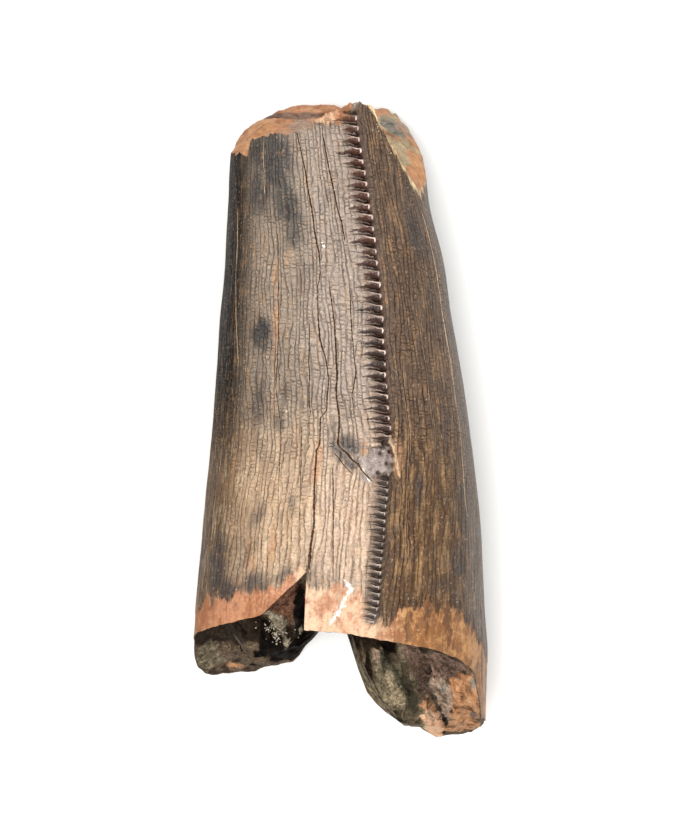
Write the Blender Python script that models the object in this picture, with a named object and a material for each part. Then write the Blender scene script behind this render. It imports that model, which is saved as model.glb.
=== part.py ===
"""A broken piece of a fossil tyrannosaur tooth crown, lying on its back with its front serrated edge up.

Blender 4.5, metres, +Z up. The tip end of the crown points along +Y, the base end along -Y, and the origin
is the middle of the footprint. The tooth grew as one piece, so it is one solid: the outer wall, the two
serrated edges (carinae), the break across the tip end, the ragged break round the base, and the pulp cavity
that opens at the base.

The skin is laid out like a sock: each column runs from the middle of the tip break, over its rim, down the
outer wall, round the broken base edge and up the pulp cavity to its closed end.
"""

import math

import bmesh
import bpy
from mathutils import Vector, noise

MM = 0.001
NAME = "tooth"

# The crown's lines. Each pair is (place along the crown, size) in millimetres; the tip end is at +19.
AXIS_X = (
    (19, -0.98), (16, -0.84), (13, -0.72), (9.5, -0.36), (6, -0.26), (2, 0.0), (-5, 0.13), (-14, -0.03),
    (-20, 0.05),
)  # fmt: skip
BACK_Z = ((19, 0.0), (9, 0.8), (0, 1.05), (-8, 0.75), (-13, 0.15), (-16, 0.0), (-20, 0.0))
HALF_WIDTH = (
    (19, 5.5), (16, 5.9), (13, 6.1), (9.5, 6.6), (6, 6.95), (2, 7.45), (-5, 8.17), (-12, 8.7), (-14, 8.84),
    (-20, 8.7),
)  # fmt: skip
HALF_DEPTH = ((19, 5.6), (9, 6.6), (0, 7.3), (-9, 7.9), (-20, 8.2))
FRONT_ROUNDNESS = 2.3  # exponent of the superellipse, 2 is an ellipse
BACK_ROUNDNESS = 3.2  # flatter, so that the tooth lies still
SECTION_TURN = 4.8  # degrees by which the sections are turned towards +X

# Broken edges. Each pair is (angle round the crown in degrees, place along it in millimetres).
# 0 faces up, 90 faces +X, and the back crest is at -148, which is also 212.
TIP_EDGE = (
    (-148, 19.0), (-140, 18.6), (-120, 17.6), (-105, 16.5), (-90, 15.8), (-75, 15.6), (-60, 15.8),
    (-45, 16.5), (-14, 16.8), (-8, 17.2), (8, 17.6), (13, 18.6), (22, 18.8), (31, 18.6), (38, 16.9),
    (44, 15.2), (50, 14.5), (58, 13.6), (72, 14.2), (90, 15.3), (105, 16.4), (120, 17.5), (140, 19.4),
    (160, 19.5), (182, 19.6), (200, 19.6), (212, 19.0),
)  # fmt: skip
BASE_EDGE = (
    (-148, -15.7), (-140, -15.8), (-117, -15.6), (-105, -14.7), (-90, -13.3), (-70, -12.5), (-58, -12.1),
    (-46, -11.7), (-30, -11.1), (-12.8, -8.6), (-11.8, -11.9), (0, -12.0), (10, -12.2), (25, -12.6),
    (42, -13.1), (55, -13.8), (66, -14.8), (74, -17.6), (90, -18.0), (127, -19.4), (138, -19.8),
    (144, -19.5), (157, -19.1), (165, -17.7), (170, -16.8), (173, -15.7), (176, -14.5), (178, -13.9),
    (180, -13.3), (182, -12.0), (188, -12.6), (195, -13.5), (200, -14.3), (203, -15.0), (212, -15.7),
)  # fmt: skip
CAVITY_EDGE = (
    (-148, -13.7), (-140, -13.9), (-117, -13.8), (-95, -13.4), (-75, -13.6), (-58, -13.9), (-45, -13.8),
    (-30, -13.2), (-21, -11.5), (-14, -9.6), (-11.6, -11.6), (0, -11.5), (15, -11.7), (40, -12.2),
    (55, -12.9), (66, -14.2), (80, -16.2), (95, -17.6), (115, -18.6), (138, -18.8), (154, -17.8),
    (165, -15.6), (172, -13.6), (176, -12.2), (182, -11.4), (190, -11.8), (197, -12.6), (205, -13.4),
    (212, -13.7),
)  # fmt: skip

# The pulp cavity.
WALL = 3.0 * MM  # thickness of the dentine at the base
CAVITY_MOUTH_Y = -11.0 * MM  # the wall keeps its thickness below this
CAVITY_END_Y = 2.0 * MM
CAVITY_TAPER = 0.7  # below 1 the cavity narrows late, like a thimble

# The break across the tip end slopes, so that its lower side sticks out further.
BREAK_MIDDLE_Y = 18.0 * MM
BREAK_SLOPE = -0.2  # along the crown for each unit of height
BREAK_RIM = 3.0  # above 1 the rim's own rises and falls stay near the rim

# The serrated edges (carinae). CREST_X is the line that the front one follows, seen from above.
CREST_X = ((18, 1.0), (13.5, 1.75), (8, 2.5), (2, 2.95), (-1, 3.2), (-4, 2.97), (-8, 2.66), (-13, 2.25))
BACK_CREST = 212  # degrees
CREST_HEIGHT = 0.62 * MM
CREST_FADE = 1.2 * MM  # the front crest sinks into the wall over this length at its base end
CREST_BASE_Y = -11.6 * MM
PITCH = ((19, 0.665), (4, 0.64), (0, 0.56), (-4, 0.44), (-13, 0.40))  # denticle spacing along the crest
DENTICLE_DEPTH = 0.3 * MM
DENTICLE_PHASES = (0.0, 0.28, 0.72)  # notch, then the two ends of the flat top
DENTICLES_PER_CELL = 2
# Places across a crest, in metres, with the share of its height and of the notch depth that each one has.
LEFT_FOOT, RIGHT_FOOT = -1.5 * MM, 0.95 * MM
CREST_LINES = ((-0.75 * MM, 0.36, 0.35), (-0.28 * MM, 0.8, 0.8), (0.0, 1.0, 1.0), (0.32 * MM, 0.5, 0.45))

# How the skin is divided. The angles are those of the columns between the crests, at the base.
LEFT_COLUMNS = (
    -139, -131, -122, -113, -104, -95, -86, -78, -70, -64, -58, -50, -43, -36, -30, -24, -18, -12.8, -11.7,
    -6, 0,
)  # fmt: skip
RIGHT_COLUMNS = (
    31, 38, 44, 50, 55, 60, 66, 70, 74, 82, 90, 98, 106, 115, 124, 132, 138, 144, 151, 157, 161, 165, 168,
    170.5, 173, 176, 178, 180, 182, 187, 191, 195, 199.5,
)  # fmt: skip
CAP_RINGS = (0.16, 0.36, 0.56, 0.76, 0.92)
RIM_STEPS = 4
CAVITY_STEPS = 9
BASE_STRETCH_FROM = 0.72  # share of the wall's length after which its rows lean towards the base edge
TIP_STRETCH_TO = 0.2

# Broken faces are rough: the height and the size of the lumps.
ROUGH_HEIGHT = 0.45 * MM
ROUGH_SIZE = 2.2 * MM

COLOUR = (0.24, 0.165, 0.115, 1.0)  # brown enamel
GLOSS_ROUGHNESS = 0.38


def smooth(points, at):
    """The value at one place of a smooth curve through (place, value) points, in any order of place."""
    points = sorted(points)
    if at <= points[0][0]:
        return points[0][1]
    if at >= points[-1][0]:
        return points[-1][1]
    i = max(k for k in range(len(points) - 1) if points[k][0] <= at)

    def slope(k):
        low, high = points[max(k - 1, 0)], points[min(k + 1, len(points) - 1)]
        return (high[1] - low[1]) / (high[0] - low[0])

    (x0, y0), (x1, y1) = points[i], points[i + 1]
    span = x1 - x0
    t = (at - x0) / span
    rise = (2 * t**3 - 3 * t**2 + 1) * y0 + (3 * t**2 - 2 * t**3) * y1
    return rise + span * ((t**3 - 2 * t**2 + t) * slope(i) + (t**3 - t**2) * slope(i + 1))


def straight(points, at):
    """The value at one place of the straight lines through (place, value) points."""
    for (x0, y0), (x1, y1) in zip(points, points[1:]):
        if at <= x1:
            return y0 + (y1 - y0) * max(0.0, at - x0) / (x1 - x0)
    return points[-1][1]


def line(points, y):
    """One of the crown's lines, in metres, at y metres along the crown."""
    return smooth(points, y / MM) * MM


def edge(points, angle):
    """Where a broken edge lies along the crown, in metres, at an angle in degrees."""
    return straight(points, angle) * MM


def wall_radius(angle, y):
    """Distance from the crown's axis to its outer wall, before the crests: a superellipse in polar form."""
    turn = math.radians(angle - SECTION_TURN)
    roundness = FRONT_ROUNDNESS if math.cos(turn) > 0 else BACK_ROUNDNESS
    across = abs(math.sin(turn)) / line(HALF_WIDTH, y)
    deep = abs(math.cos(turn)) / line(HALF_DEPTH, y)
    return (across**roundness + deep**roundness) ** (-1 / roundness)


def place(angle, y, radius):
    """The point at a distance from the crown's axis."""
    turn = math.radians(angle)
    axis_z = line(BACK_Z, y) + line(HALF_DEPTH, y)
    return Vector((line(AXIS_X, y) + radius * math.sin(turn), y, axis_z + radius * math.cos(turn)))


def crest_angle(y):
    """The angle of the front crest, so that seen from above it follows CREST_X."""
    offset = line(CREST_X, y) - line(AXIS_X, y)
    angle = 0.0
    for _ in range(8):
        angle = math.degrees(math.asin(offset / (wall_radius(angle, y) + CREST_HEIGHT)))
    return angle


CREST_AT_BASE = crest_angle(BASE_EDGE[12][1] * MM)


def column_angle(column, y):
    """A column's angle at y. The columns lean with the front crest, and less so towards the back."""
    lean = crest_angle(y) - CREST_AT_BASE
    if column >= CREST_AT_BASE:
        return column + lean * (BACK_CREST - column) / (BACK_CREST - CREST_AT_BASE)
    back = BACK_CREST - 360
    return column + lean * (column - back) / (CREST_AT_BASE - back)


def wall_rows():
    """Shares of the wall's length, from the tip rim to the base edge, one for every few denticles."""
    top, bottom = edge(TIP_EDGE, CREST_AT_BASE), edge(BASE_EDGE, CREST_AT_BASE)
    ys = [top]
    while True:
        step = DENTICLES_PER_CELL * line(PITCH, ys[-1])
        if ys[-1] - 1.5 * step < bottom:
            break
        ys.append(ys[-1] - step)
    ys.append(bottom)
    return [(top - y) / (top - bottom) for y in ys]


def wall_y(column, share):
    """Place along the crown of a point of the wall. Rows are level, and lean to a broken edge near it."""
    top, bottom = edge(TIP_EDGE, CREST_AT_BASE), edge(BASE_EDGE, CREST_AT_BASE)
    y = top + (bottom - top) * share
    at_tip = max(0.0, 1 - share / TIP_STRETCH_TO)
    at_base = max(0.0, (share - BASE_STRETCH_FROM) / (1 - BASE_STRETCH_FROM))
    return y + (edge(TIP_EDGE, column) - top) * at_tip + (edge(BASE_EDGE, column) - bottom) * at_base


def rough(point, height=ROUGH_HEIGHT):
    """A broken face's lump at a point, as a length."""
    return height * noise.fractal(point / ROUGH_SIZE, 1.0, 2.1, 3)


def cap_point(column, ring):
    """A point of the break across the tip end. ring is 0 in its middle and 1 at its rim."""
    rim_y = edge(TIP_EDGE, column)
    angle = column_angle(column, rim_y)
    radius = wall_radius(angle, rim_y)
    slope = BREAK_SLOPE * math.cos(math.radians(angle)) * radius
    y = BREAK_MIDDLE_Y + slope * ring + (rim_y - BREAK_MIDDLE_Y - slope) * ring**BREAK_RIM
    point = place(angle, y, ring * radius)
    point.y += rough(point) * min(1.0, 4 * (1 - ring))
    return point


def cavity_radius(angle, y):
    """Distance from the axis to the pulp cavity's wall, which closes towards the tip."""
    mouth = wall_radius(angle, min(y, CAVITY_MOUTH_Y)) - WALL
    left = (CAVITY_END_Y - y) / (CAVITY_END_Y - CAVITY_MOUTH_Y)
    return mouth * min(1.0, max(0.0, left)) ** CAVITY_TAPER


def inner_points(column):
    """The points of a column past the base edge: over the broken rim, then up the pulp cavity."""
    outer_y, inner_y = edge(BASE_EDGE, column), edge(CAVITY_EDGE, column)
    angle = column_angle(column, outer_y)
    outer = place(angle, outer_y, wall_radius(angle, outer_y))
    inner = place(angle, inner_y, cavity_radius(angle, inner_y))
    points = []
    for step in range(1, RIM_STEPS + 1):
        share = step / RIM_STEPS
        point = outer.lerp(inner, share)
        point.y += rough(point) * math.sin(math.pi * share)
        points.append(point)
    for step in range(1, CAVITY_STEPS):
        y = inner_y + (CAVITY_END_Y - inner_y) * step / CAVITY_STEPS
        point = place(angle, y, cavity_radius(angle, y))
        points.append(point)
    return points


class Skin:
    """Collects the tooth's vertices and faces."""

    def __init__(self):
        self.mesh = bmesh.new()
        self.tip = self.mesh.verts.new(cap_point(0, 0.0))
        self.end = self.mesh.verts.new(place(0, CAVITY_END_Y, 0.0))

    def column(self, points):
        return [self.mesh.verts.new(point) for point in points]

    def bridge(self, left, right):
        """Quads between two columns with the same number of points."""
        for i in range(len(left) - 1):
            self.mesh.faces.new((left[i], left[i + 1], right[i + 1], right[i]))

    def zip_up(self, coarse, fine, per_cell, coarse_is_left):
        """Triangles between a column of cells and one with several points for each cell."""
        for cell in range(len(coarse) - 1):
            first = cell * per_cell
            middle = first + per_cell // 2
            corners = [(coarse[cell], fine[i + 1], fine[i]) for i in range(first, middle)]
            corners.append((coarse[cell], coarse[cell + 1], fine[middle]))
            corners += [(coarse[cell + 1], fine[i + 1], fine[i]) for i in range(middle, first + per_cell)]
            for face in corners:
                self.mesh.faces.new(face if coarse_is_left else face[::-1])


def body_column(skin, column):
    """One column between the crests: (cap points, wall points, inner points), each from tip to base."""
    cap = skin.column([cap_point(column, ring) for ring in CAP_RINGS])
    wall = []
    for share in wall_rows():
        y = wall_y(column, share)
        angle = column_angle(column, y)
        wall.append(place(angle, y, wall_radius(angle, y)))
    return cap, skin.column(wall), skin.column(inner_points(column))


def crest_column(skin, crest, across, height_share, notch_share):
    """One fine column along a crest. It has a point for each phase of each denticle."""
    rows = wall_rows()
    per_cell = DENTICLES_PER_CELL * len(DENTICLE_PHASES)
    front = crest == "front"
    column = CREST_AT_BASE if front else BACK_CREST
    spread = math.degrees(across / wall_radius(column, edge(BASE_EDGE, column)))
    points = []
    for cell in range(len(rows) - 1):
        for i in range(per_cell + (cell == len(rows) - 2)):
            denticle, phase = divmod(i, len(DENTICLE_PHASES))
            within = (denticle + DENTICLE_PHASES[phase]) / DENTICLES_PER_CELL
            share = rows[cell] + (rows[cell + 1] - rows[cell]) * within
            y = wall_y(column + spread, share)
            angle = (crest_angle(y) if front else BACK_CREST) + math.degrees(across / wall_radius(column, y))
            crest_end = CREST_BASE_Y if front else edge(BASE_EDGE, column)
            fade = min(1.0, max(0.0, (y - crest_end) / CREST_FADE))
            height = CREST_HEIGHT * height_share
            if phase == 0:
                height -= DENTICLE_DEPTH * notch_share
            points.append(place(angle, y, wall_radius(angle, y) + height * fade))
    cap = [cap_point(column + spread, ring) for ring in CAP_RINGS]
    return skin.column(cap), skin.column(points), skin.column(inner_points(column + spread))


def tooth_mesh():
    """The whole skin, closed."""
    skin = Skin()
    per_cell = DENTICLES_PER_CELL * len(DENTICLE_PHASES)
    columns = []  # (cap, wall, inner, is fine)

    def crest(kind, side):
        middle = CREST_AT_BASE if kind == "front" else BACK_CREST + side
        at_base = wall_radius(middle, edge(BASE_EDGE, middle))
        columns.append((*body_column(skin, middle + math.degrees(LEFT_FOOT / at_base)), False))
        for across, height_share, notch_share in CREST_LINES:
            columns.append((*crest_column(skin, kind, across, height_share, notch_share), True))
        columns.append((*body_column(skin, middle + math.degrees(RIGHT_FOOT / at_base)), False))

    for column in LEFT_COLUMNS:
        columns.append((*body_column(skin, column), False))
    crest("front", 0)
    for column in RIGHT_COLUMNS:
        columns.append((*body_column(skin, column), False))
    crest("back", 0)

    for left, right in zip(columns, columns[1:] + columns[:1]):
        skin.mesh.faces.new((skin.tip, left[0][0], right[0][0]))
        skin.bridge(left[0], right[0])
        if left[3] == right[3]:
            skin.bridge(left[1], right[1])
        elif right[3]:
            skin.zip_up(left[1], right[1], per_cell, True)
        else:
            skin.zip_up(right[1], left[1], per_cell, False)
        for upper, lower in ((0, 1), (1, 2)):
            skin.bridge([left[upper][-1], left[lower][0]], [right[upper][-1], right[lower][0]])
        skin.bridge(left[2], right[2])
        skin.mesh.faces.new((left[2][-1], skin.end, right[2][-1]))
    bmesh.ops.recalc_face_normals(skin.mesh, faces=skin.mesh.faces)
    return skin.mesh


def lie_down(mesh):
    """Turns the tooth a little so that it rests on its tip end and on both lobes of the base, at Z 0."""
    for _ in range(6):
        parts = (
            [v.co for v in mesh.verts if v.co.y > 0],
            [v.co for v in mesh.verts if v.co.y < -12 * MM and v.co.x < 0],
            [v.co for v in mesh.verts if v.co.y < -12 * MM and v.co.x > 0],
        )
        tip, left, right = (min(part, key=lambda p: p.z).copy() for part in parts)
        normal = (right - tip).cross(left - tip).normalized()
        if normal.z < 0:
            normal.negate()
        turn = normal.rotation_difference(Vector((0, 0, 1))).to_matrix().to_4x4()
        bmesh.ops.transform(mesh, matrix=turn, verts=mesh.verts)
    low, high = (Vector(pick(v.co[i] for v in mesh.verts) for i in range(3)) for pick in (min, max))
    middle = (low + high) / 2
    bmesh.ops.translate(mesh, vec=(-middle.x, -middle.y, -low.z), verts=mesh.verts)


def enamel():
    material = bpy.data.materials.new("brown enamel")
    material.use_nodes = True
    shader = material.node_tree.nodes["Principled BSDF"]
    shader.inputs["Base Color"].default_value = COLOUR
    shader.inputs["Roughness"].default_value = GLOSS_ROUGHNESS
    shader.inputs["Metallic"].default_value = 0.0
    return material


def main():
    for old in list(bpy.data.objects):
        bpy.data.objects.remove(old)
    skin = tooth_mesh()
    lie_down(skin)
    data = bpy.data.meshes.new(NAME)
    skin.to_mesh(data)
    skin.free()
    tooth = bpy.data.objects.new(NAME, data)
    bpy.context.scene.collection.objects.link(tooth)
    data.materials.append(enamel())
    data.shade_smooth()
    data.set_sharp_from_angle(angle=math.radians(40))


main()
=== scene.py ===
"""Looks of a broken piece of a fossil tyrannosaur tooth crown, lying on its back with its serrated edge up.

The skin of the tooth is one sheet, rolled up like a sock: from the middle of the tip break, over its rim,
down the enamel, round the broken base edge and up the pulp cavity. It follows the solid's own lines and
adds the relief: two keels of denticles, flake scars, cracks, broken edges and the wrinkled cavity.

Sizes are in millimetres unless a comment says otherwise. Angles are in degrees round the crown: 0 is up and
90 is +X.
"""

import math
from functools import partial
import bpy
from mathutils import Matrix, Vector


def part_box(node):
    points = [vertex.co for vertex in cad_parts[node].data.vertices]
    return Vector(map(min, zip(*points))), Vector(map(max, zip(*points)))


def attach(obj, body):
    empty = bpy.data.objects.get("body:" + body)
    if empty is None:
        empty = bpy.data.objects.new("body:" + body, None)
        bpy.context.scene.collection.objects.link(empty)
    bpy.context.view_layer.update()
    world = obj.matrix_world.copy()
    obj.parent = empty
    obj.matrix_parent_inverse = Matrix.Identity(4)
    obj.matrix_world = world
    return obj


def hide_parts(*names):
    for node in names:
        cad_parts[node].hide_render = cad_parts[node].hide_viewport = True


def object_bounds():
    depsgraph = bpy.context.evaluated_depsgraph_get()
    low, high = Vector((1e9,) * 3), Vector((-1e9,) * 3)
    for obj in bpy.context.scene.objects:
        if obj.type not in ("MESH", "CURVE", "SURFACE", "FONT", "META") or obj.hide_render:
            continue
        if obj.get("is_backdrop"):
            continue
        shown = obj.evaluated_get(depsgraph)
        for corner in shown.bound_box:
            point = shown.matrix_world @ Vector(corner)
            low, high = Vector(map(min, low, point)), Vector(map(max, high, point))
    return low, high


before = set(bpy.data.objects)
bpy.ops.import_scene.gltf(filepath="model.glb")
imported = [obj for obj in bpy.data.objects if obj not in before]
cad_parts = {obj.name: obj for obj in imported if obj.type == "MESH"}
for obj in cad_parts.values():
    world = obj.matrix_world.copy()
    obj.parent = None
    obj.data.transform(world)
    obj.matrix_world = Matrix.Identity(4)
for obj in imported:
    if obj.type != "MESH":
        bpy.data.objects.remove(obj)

from types import SimpleNamespace

import bpy
import numpy as np
from mathutils import Vector, noise
from mathutils.bvhtree import BVHTree

START_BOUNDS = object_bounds()
MM = 0.001  # metres

# ---------------------------------------------------------------- the crown's lines, as in the solid
# Lines along the crown are (place, value), and lines round it are (angle, place).
AXIS_X = (
    (19, -0.98), (16, -0.84), (13, -0.72), (9.5, -0.36), (6, -0.26), (2, 0.0), (-5, 0.13), (-14, -0.03),
    (-20, 0.05),
)  # fmt: skip
BACK_Z = ((19, 0.0), (9, 0.8), (0, 1.05), (-8, 0.75), (-13, 0.15), (-16, 0.0), (-20, 0.0))
HALF_WIDTH = (
    (19, 5.5), (16, 5.9), (13, 6.1), (9.5, 6.6), (6, 6.95), (2, 7.45), (-5, 8.17), (-12, 8.7), (-14, 8.84),
    (-20, 8.7),
)  # fmt: skip
HALF_DEPTH = ((19, 5.6), (9, 6.6), (0, 7.3), (-9, 7.9), (-20, 8.2))
FRONT_ROUNDNESS = 2.3
BACK_ROUNDNESS = 3.2
SECTION_TURN = 4.8

TIP_EDGE = (
    (-148, 19.0), (-140, 18.6), (-120, 17.6), (-105, 16.5), (-90, 16.1), (-72, 16.2), (-62, 16.0),
    (-50, 15.8), (-47.5, 16.8), (-14, 17.05), (-8, 17.2), (-6, 17.8), (2, 18.3), (9, 18.4), (13, 18.7),
    (22, 18.9), (30, 18.6), (32, 17.8), (35, 17.4), (37, 16.6), (41, 16.2), (43, 15.2), (47, 14.9),
    (50, 14.5), (58, 13.9), (72, 14.3), (90, 15.3), (105, 16.4), (120, 17.5), (140, 19.4), (160, 19.5),
    (182, 19.6), (200, 19.6), (212, 19.0),
)  # fmt: skip
BASE_EDGE = (
    (-148, -15.5), (-140, -15.75), (-133, -15.95), (-125, -16.0), (-117, -15.75), (-111, -15.3),
    (-105, -14.7), (-98, -14.0), (-90, -13.3), (-70, -12.5), (-58, -12.1), (-46, -11.7), (-30, -11.1),
    (-12.8, -8.6), (-11.8, -11.9), (0, -12.0), (10, -12.2), (25, -12.6), (42, -13.1), (55, -13.8),
    (66, -14.8), (74, -17.6), (90, -18.0), (127, -19.4), (138, -19.8), (144, -19.5), (157, -19.2),
    (165, -18.3), (170, -17.4), (173, -16.4), (176, -15.1), (178, -14.2), (180, -13.3), (182, -12.0),
    (188, -12.7), (195, -13.9), (200, -14.9), (203, -15.4), (212, -15.5),
)  # fmt: skip
CAVITY_EDGE = (
    (-148, -13.7), (-140, -13.9), (-117, -13.8), (-95, -13.4), (-75, -13.6), (-58, -13.9), (-45, -13.8),
    (-30, -13.2), (-21, -11.5), (-14, -9.6), (-11.6, -11.6), (0, -11.5), (15, -11.7), (40, -12.2),
    (55, -12.9), (66, -14.2), (80, -16.2), (95, -17.6), (115, -18.6), (138, -18.8), (154, -17.8),
    (165, -15.6), (172, -13.6), (176, -12.2), (182, -11.4), (190, -11.8), (197, -12.6), (205, -13.4),
    (212, -13.7),
)  # fmt: skip
BREAK_MIDDLE_Y = 18.0
BREAK_SLOPE = -0.2
BREAK_RIM = 3.0

WALL_THICKNESS = 3.0
CAVITY_MOUTH_Y = -11.0
CAVITY_END_Y = 2.0
CAVITY_TAPER = 0.7

CREST_X = ((18, 1.0), (13.5, 1.75), (8, 2.5), (2, 2.95), (-1, 3.2), (-4, 2.97), (-8, 2.66), (-13, 2.25))
BACK_CREST = 212
CREST_HEIGHT = 0.62
CREST_FADE = 1.2
CREST_BASE_Y = -11.6
CREST_FOOT_Y = -11.1  # where the columns take the front crest's angle
PITCH = ((19, 0.665), (4, 0.64), (0, 0.56), (-4, 0.44), (-13, 0.40))
TIP_STRETCH_TO = 0.2
BASE_STRETCH_FROM = 0.72
ROUGH_HEIGHT = 0.45
ROUGH_SIZE = 2.2

# How the tooth lies: rolled, then pitched, then moved.
ROLL = 2.192
PITCH_DOWN = 0.238
SHIFT = (0.362, 0.103, 0.15)

# ---------------------------------------------------------------- the sheet
# The skin's columns: (from, to, how many) in degrees at the base, and those across the front keel in mm.
LEFT_COLUMNS = ((-148, -139, 8), (-139, -98, 15), (-98, -60, 16), (-60, -17, 30), (-17, -12.8, 8))
NOTCH_COLUMNS = ((-12.8, -11.8, 2), (-11.8, -9, 5))
COLUMNS_TO_KEEL = 16
KEEL_COLUMNS = (
    -1.6, -1.42, -1.24, -1.08, -0.94, -0.81, -0.69, -0.58, -0.48, -0.39, -0.31, -0.24, -0.17, -0.1, -0.04,
    0.02, 0.08, 0.15, 0.22, 0.3, 0.4, 0.52, 0.66, 0.82, 1.0,
)  # fmt: skip
RIGHT_COLUMNS = ((64, 16), (92, 14), (142, 16), (178, 10), (184, 4), (203, 7), (212, 8))
BASE_RADIUS = 8.6
CAP_ROWS = 24
RIM_ROWS = 16
CAVITY_ROWS = 40
SMOOTH_UNDER = 60  # degrees between faces that are shaded as one surface

# ---------------------------------------------------------------- the keels
# Across a keel, from its left foot to its right one: its height, and how deep the slots are cut.
KEEL_HEIGHT = (
    (-1.55, 0.0), (-1.15, 0.07), (-0.75, 0.34), (-0.4, 0.68), (-0.18, 0.92), (0.0, 1.0), (0.12, 0.93),
    (0.3, 0.52), (0.5, 0.22), (0.95, 0.0),
)  # fmt: skip
SLOT_DEPTH = (
    (-1.35, 0.0), (-1.05, 0.18), (-0.75, 0.4), (-0.4, 0.78), (-0.15, 1.0), (0.12, 1.0), (0.3, 0.55),
    (0.5, 0.2), (0.7, 0.0),
)  # fmt: skip
SLOT_CUT = 0.36  # depth of a slot at the crest
SLOT_HALF_WIDTH = 0.17  # share of a denticle's pitch
HOOK = 0.13  # how far the denticles' outer ends bend towards the base
HOOK_REACH = 0.3  # and how near the crest they bend
DOME = 0.06  # how far a denticle swells between its slots
WORN_FOOT = (-4, -1)  # the denticles are shorter and shallower from the second place to the first
PHASES = (0.0, 0.09, 0.2, 0.36, 0.54, 0.72, 0.87)  # rows across one denticle, from slot to slot
# Random draws for each denticle: how its height and place vary, and its reach and its slot's width.
TALL_SPREAD = 0.13
SHIFT_SPREAD = 0.05
REACHES = (0.82, 1.12)
SLOT_WIDTHS = (0.85, 1.2)
DENTICLES_DRAWN = 200
SEED = 11

# ---------------------------------------------------------------- relief and marks of the enamel
SWELLS = ((0.07, (2.2, 7.0, 2.2), 4.4), (0.03, (0.9, 4.0, 0.9), 8.2))  # (height, size, seed)
SUNK = 0.04  # how far the enamel lies inside the solid's wall
BARE_SUNK = 0.03  # and how much deeper where it is gone
TIP_STEP = 0.14  # the enamel's end at the tip is chipped in steps of this height
BROKEN_TIP = (17.2, 17.5)  # beyond here the surface beside the keel is broken into chunks
CHUNK_SIZE = (0.55, 0.7, 0.55)
CHUNK_DEPTH = 0.3
# Beside the front keel, in degrees: full up to the first angle, and none past the second.
KEEL_SIDE = (13.5, 15.5)
# A flake is gone from the front keel. Places are (along the crown, round it from the keel).
SCAR = (-2.3, -0.6, 0.95, 1.0)  # the smooth scar: its middle and its half sizes
SPALL = ((-1.35, -3.1), (-3.4, -0.7), 0.3)  # the strip that spalled off beside it: its ends and half width
SCAR_DEPTH = 0.12
SPALL_DEPTH = 0.08
# Pits beside the keel: (along, round, size, depth). A negative depth is a bump.
PITS = (
    (-1.25, -0.08, 0.27, 0.34), (-1.22, 0.25, 0.26, 0.34), (-1.85, -0.3, 0.13, 0.2),
    (-2.42, 0.16, 0.14, 0.22), (-2.95, -0.35, 0.16, 0.2), (1.85, -0.14, 0.2, -0.18),
)  # fmt: skip
# Fine lines in the enamel. Each has points (along the crown, round it from the keel, half width). A half
# width of 0 ends a line, so that one entry can hold several of them.
CRACKS = (
    ((16.9, -2.75, 0.04), (15.4, -2.56, 0.05), (13.6, -2.33, 0.055), (12.4, -2.18, 0.05),
     (11.4, -1.95, 0.05), (10.5, -1.85, 0.03), (10.1, -1.85, 0), (8.4, -1.85, 0), (7.3, -1.82, 0.03),
     (5.0, -1.83, 0.03), (2.8, -1.68, 0.035), (1.5, -2.03, 0.03), (0.1, -2.02, 0)),
    ((16.9, -4.9, 0.035), (14.2, -4.4, 0.05), (12.5, -4.18, 0.055), (11.1, -4.1, 0.05), (9.6, -3.88, 0.045),
     (8.6, -3.88, 0.035), (7.6, -4.15, 0.03), (5.8, -4.14, 0.04), (4.7, -4.04, 0.05), (3.4, -3.67, 0.04),
     (2.5, -3.51, 0.035), (1.4, -3.69, 0.04), (0.6, -3.8, 0.035), (0.2, -4.22, 0.04), (-1.3, -4.24, 0.04),
     (-1.7, -4.43, 0.045), (-3.2, -4.32, 0.045), (-4.2, -4.26, 0.055), (-5.8, -4.17, 0.06),
     (-7.3, -4.2, 0.065), (-8.6, -4.23, 0.09)),
    ((8.2, -3.3, 0), (7.6, -3.23, 0.035), (5.7, -3.04, 0.045), (4.0, -2.98, 0.055), (2.65, -2.97, 0.06),
     (1.5, -3.09, 0.05), (0.4, -2.98, 0.055), (-1.1, -3.08, 0.055), (-1.3, -3.1, 0.07),
     (-1.55, -2.85, 0.05), (-1.85, -2.45, 0.09), (-2.2, -2.1, 0.07), (-2.4, -1.7, 0.1), (-2.8, -1.38, 0.05),
     (-3.15, -0.95, 0.07), (-3.5, -0.6, 0)),
    ((-2.3, -3.28, 0), (-2.8, -3.25, 0.03), (-4.5, -3.06, 0.032), (-6.7, -2.84, 0.026),
     (-8.7, -2.67, 0.018), (-9.2, -2.6, 0)),
    ((11.5, -6.94, 0), (10.5, -6.94, 0.025), (7.6, -6.94, 0.03), (5.4, -6.93, 0.03), (3.2, -7.0, 0.035),
     (2.0, -7.14, 0.025), (0.0, -6.82, 0.025), (-2.5, -6.69, 0.022), (-4.5, -6.52, 0.012), (-6.0, -6.4, 0)),
    ((6.0, -4.7, 0), (5.2, -4.76, 0.025), (1.8, -4.84, 0.03), (0.4, -4.87, 0.025), (-0.1, -5.0, 0),
     (-0.3, -5.44, 0.02), (-2.5, -5.28, 0.02), (-4.5, -5.11, 0.012), (-6.5, -5.0, 0)),
    ((-1.6, -3.45, 0), (-1.8, -3.3, 0.035), (-2.1, -2.95, 0.04), (-2.5, -2.6, 0.03), (-2.9, -2.1, 0.04),
     (-3.1, -1.9, 0)),
    ((9.0, 3.4, 0), (8.0, 3.5, 0.03), (2.0, 3.7, 0.035), (-3.0, 3.6, 0.03), (-4.0, 3.6, 0)),
    ((4.0, 1.6, 0), (3.0, 1.6, 0.03), (-6.0, 1.75, 0.03), (-8.0, 1.9, 0.03), (-9.0, 2.0, 0)),
)  # fmt: skip
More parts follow.
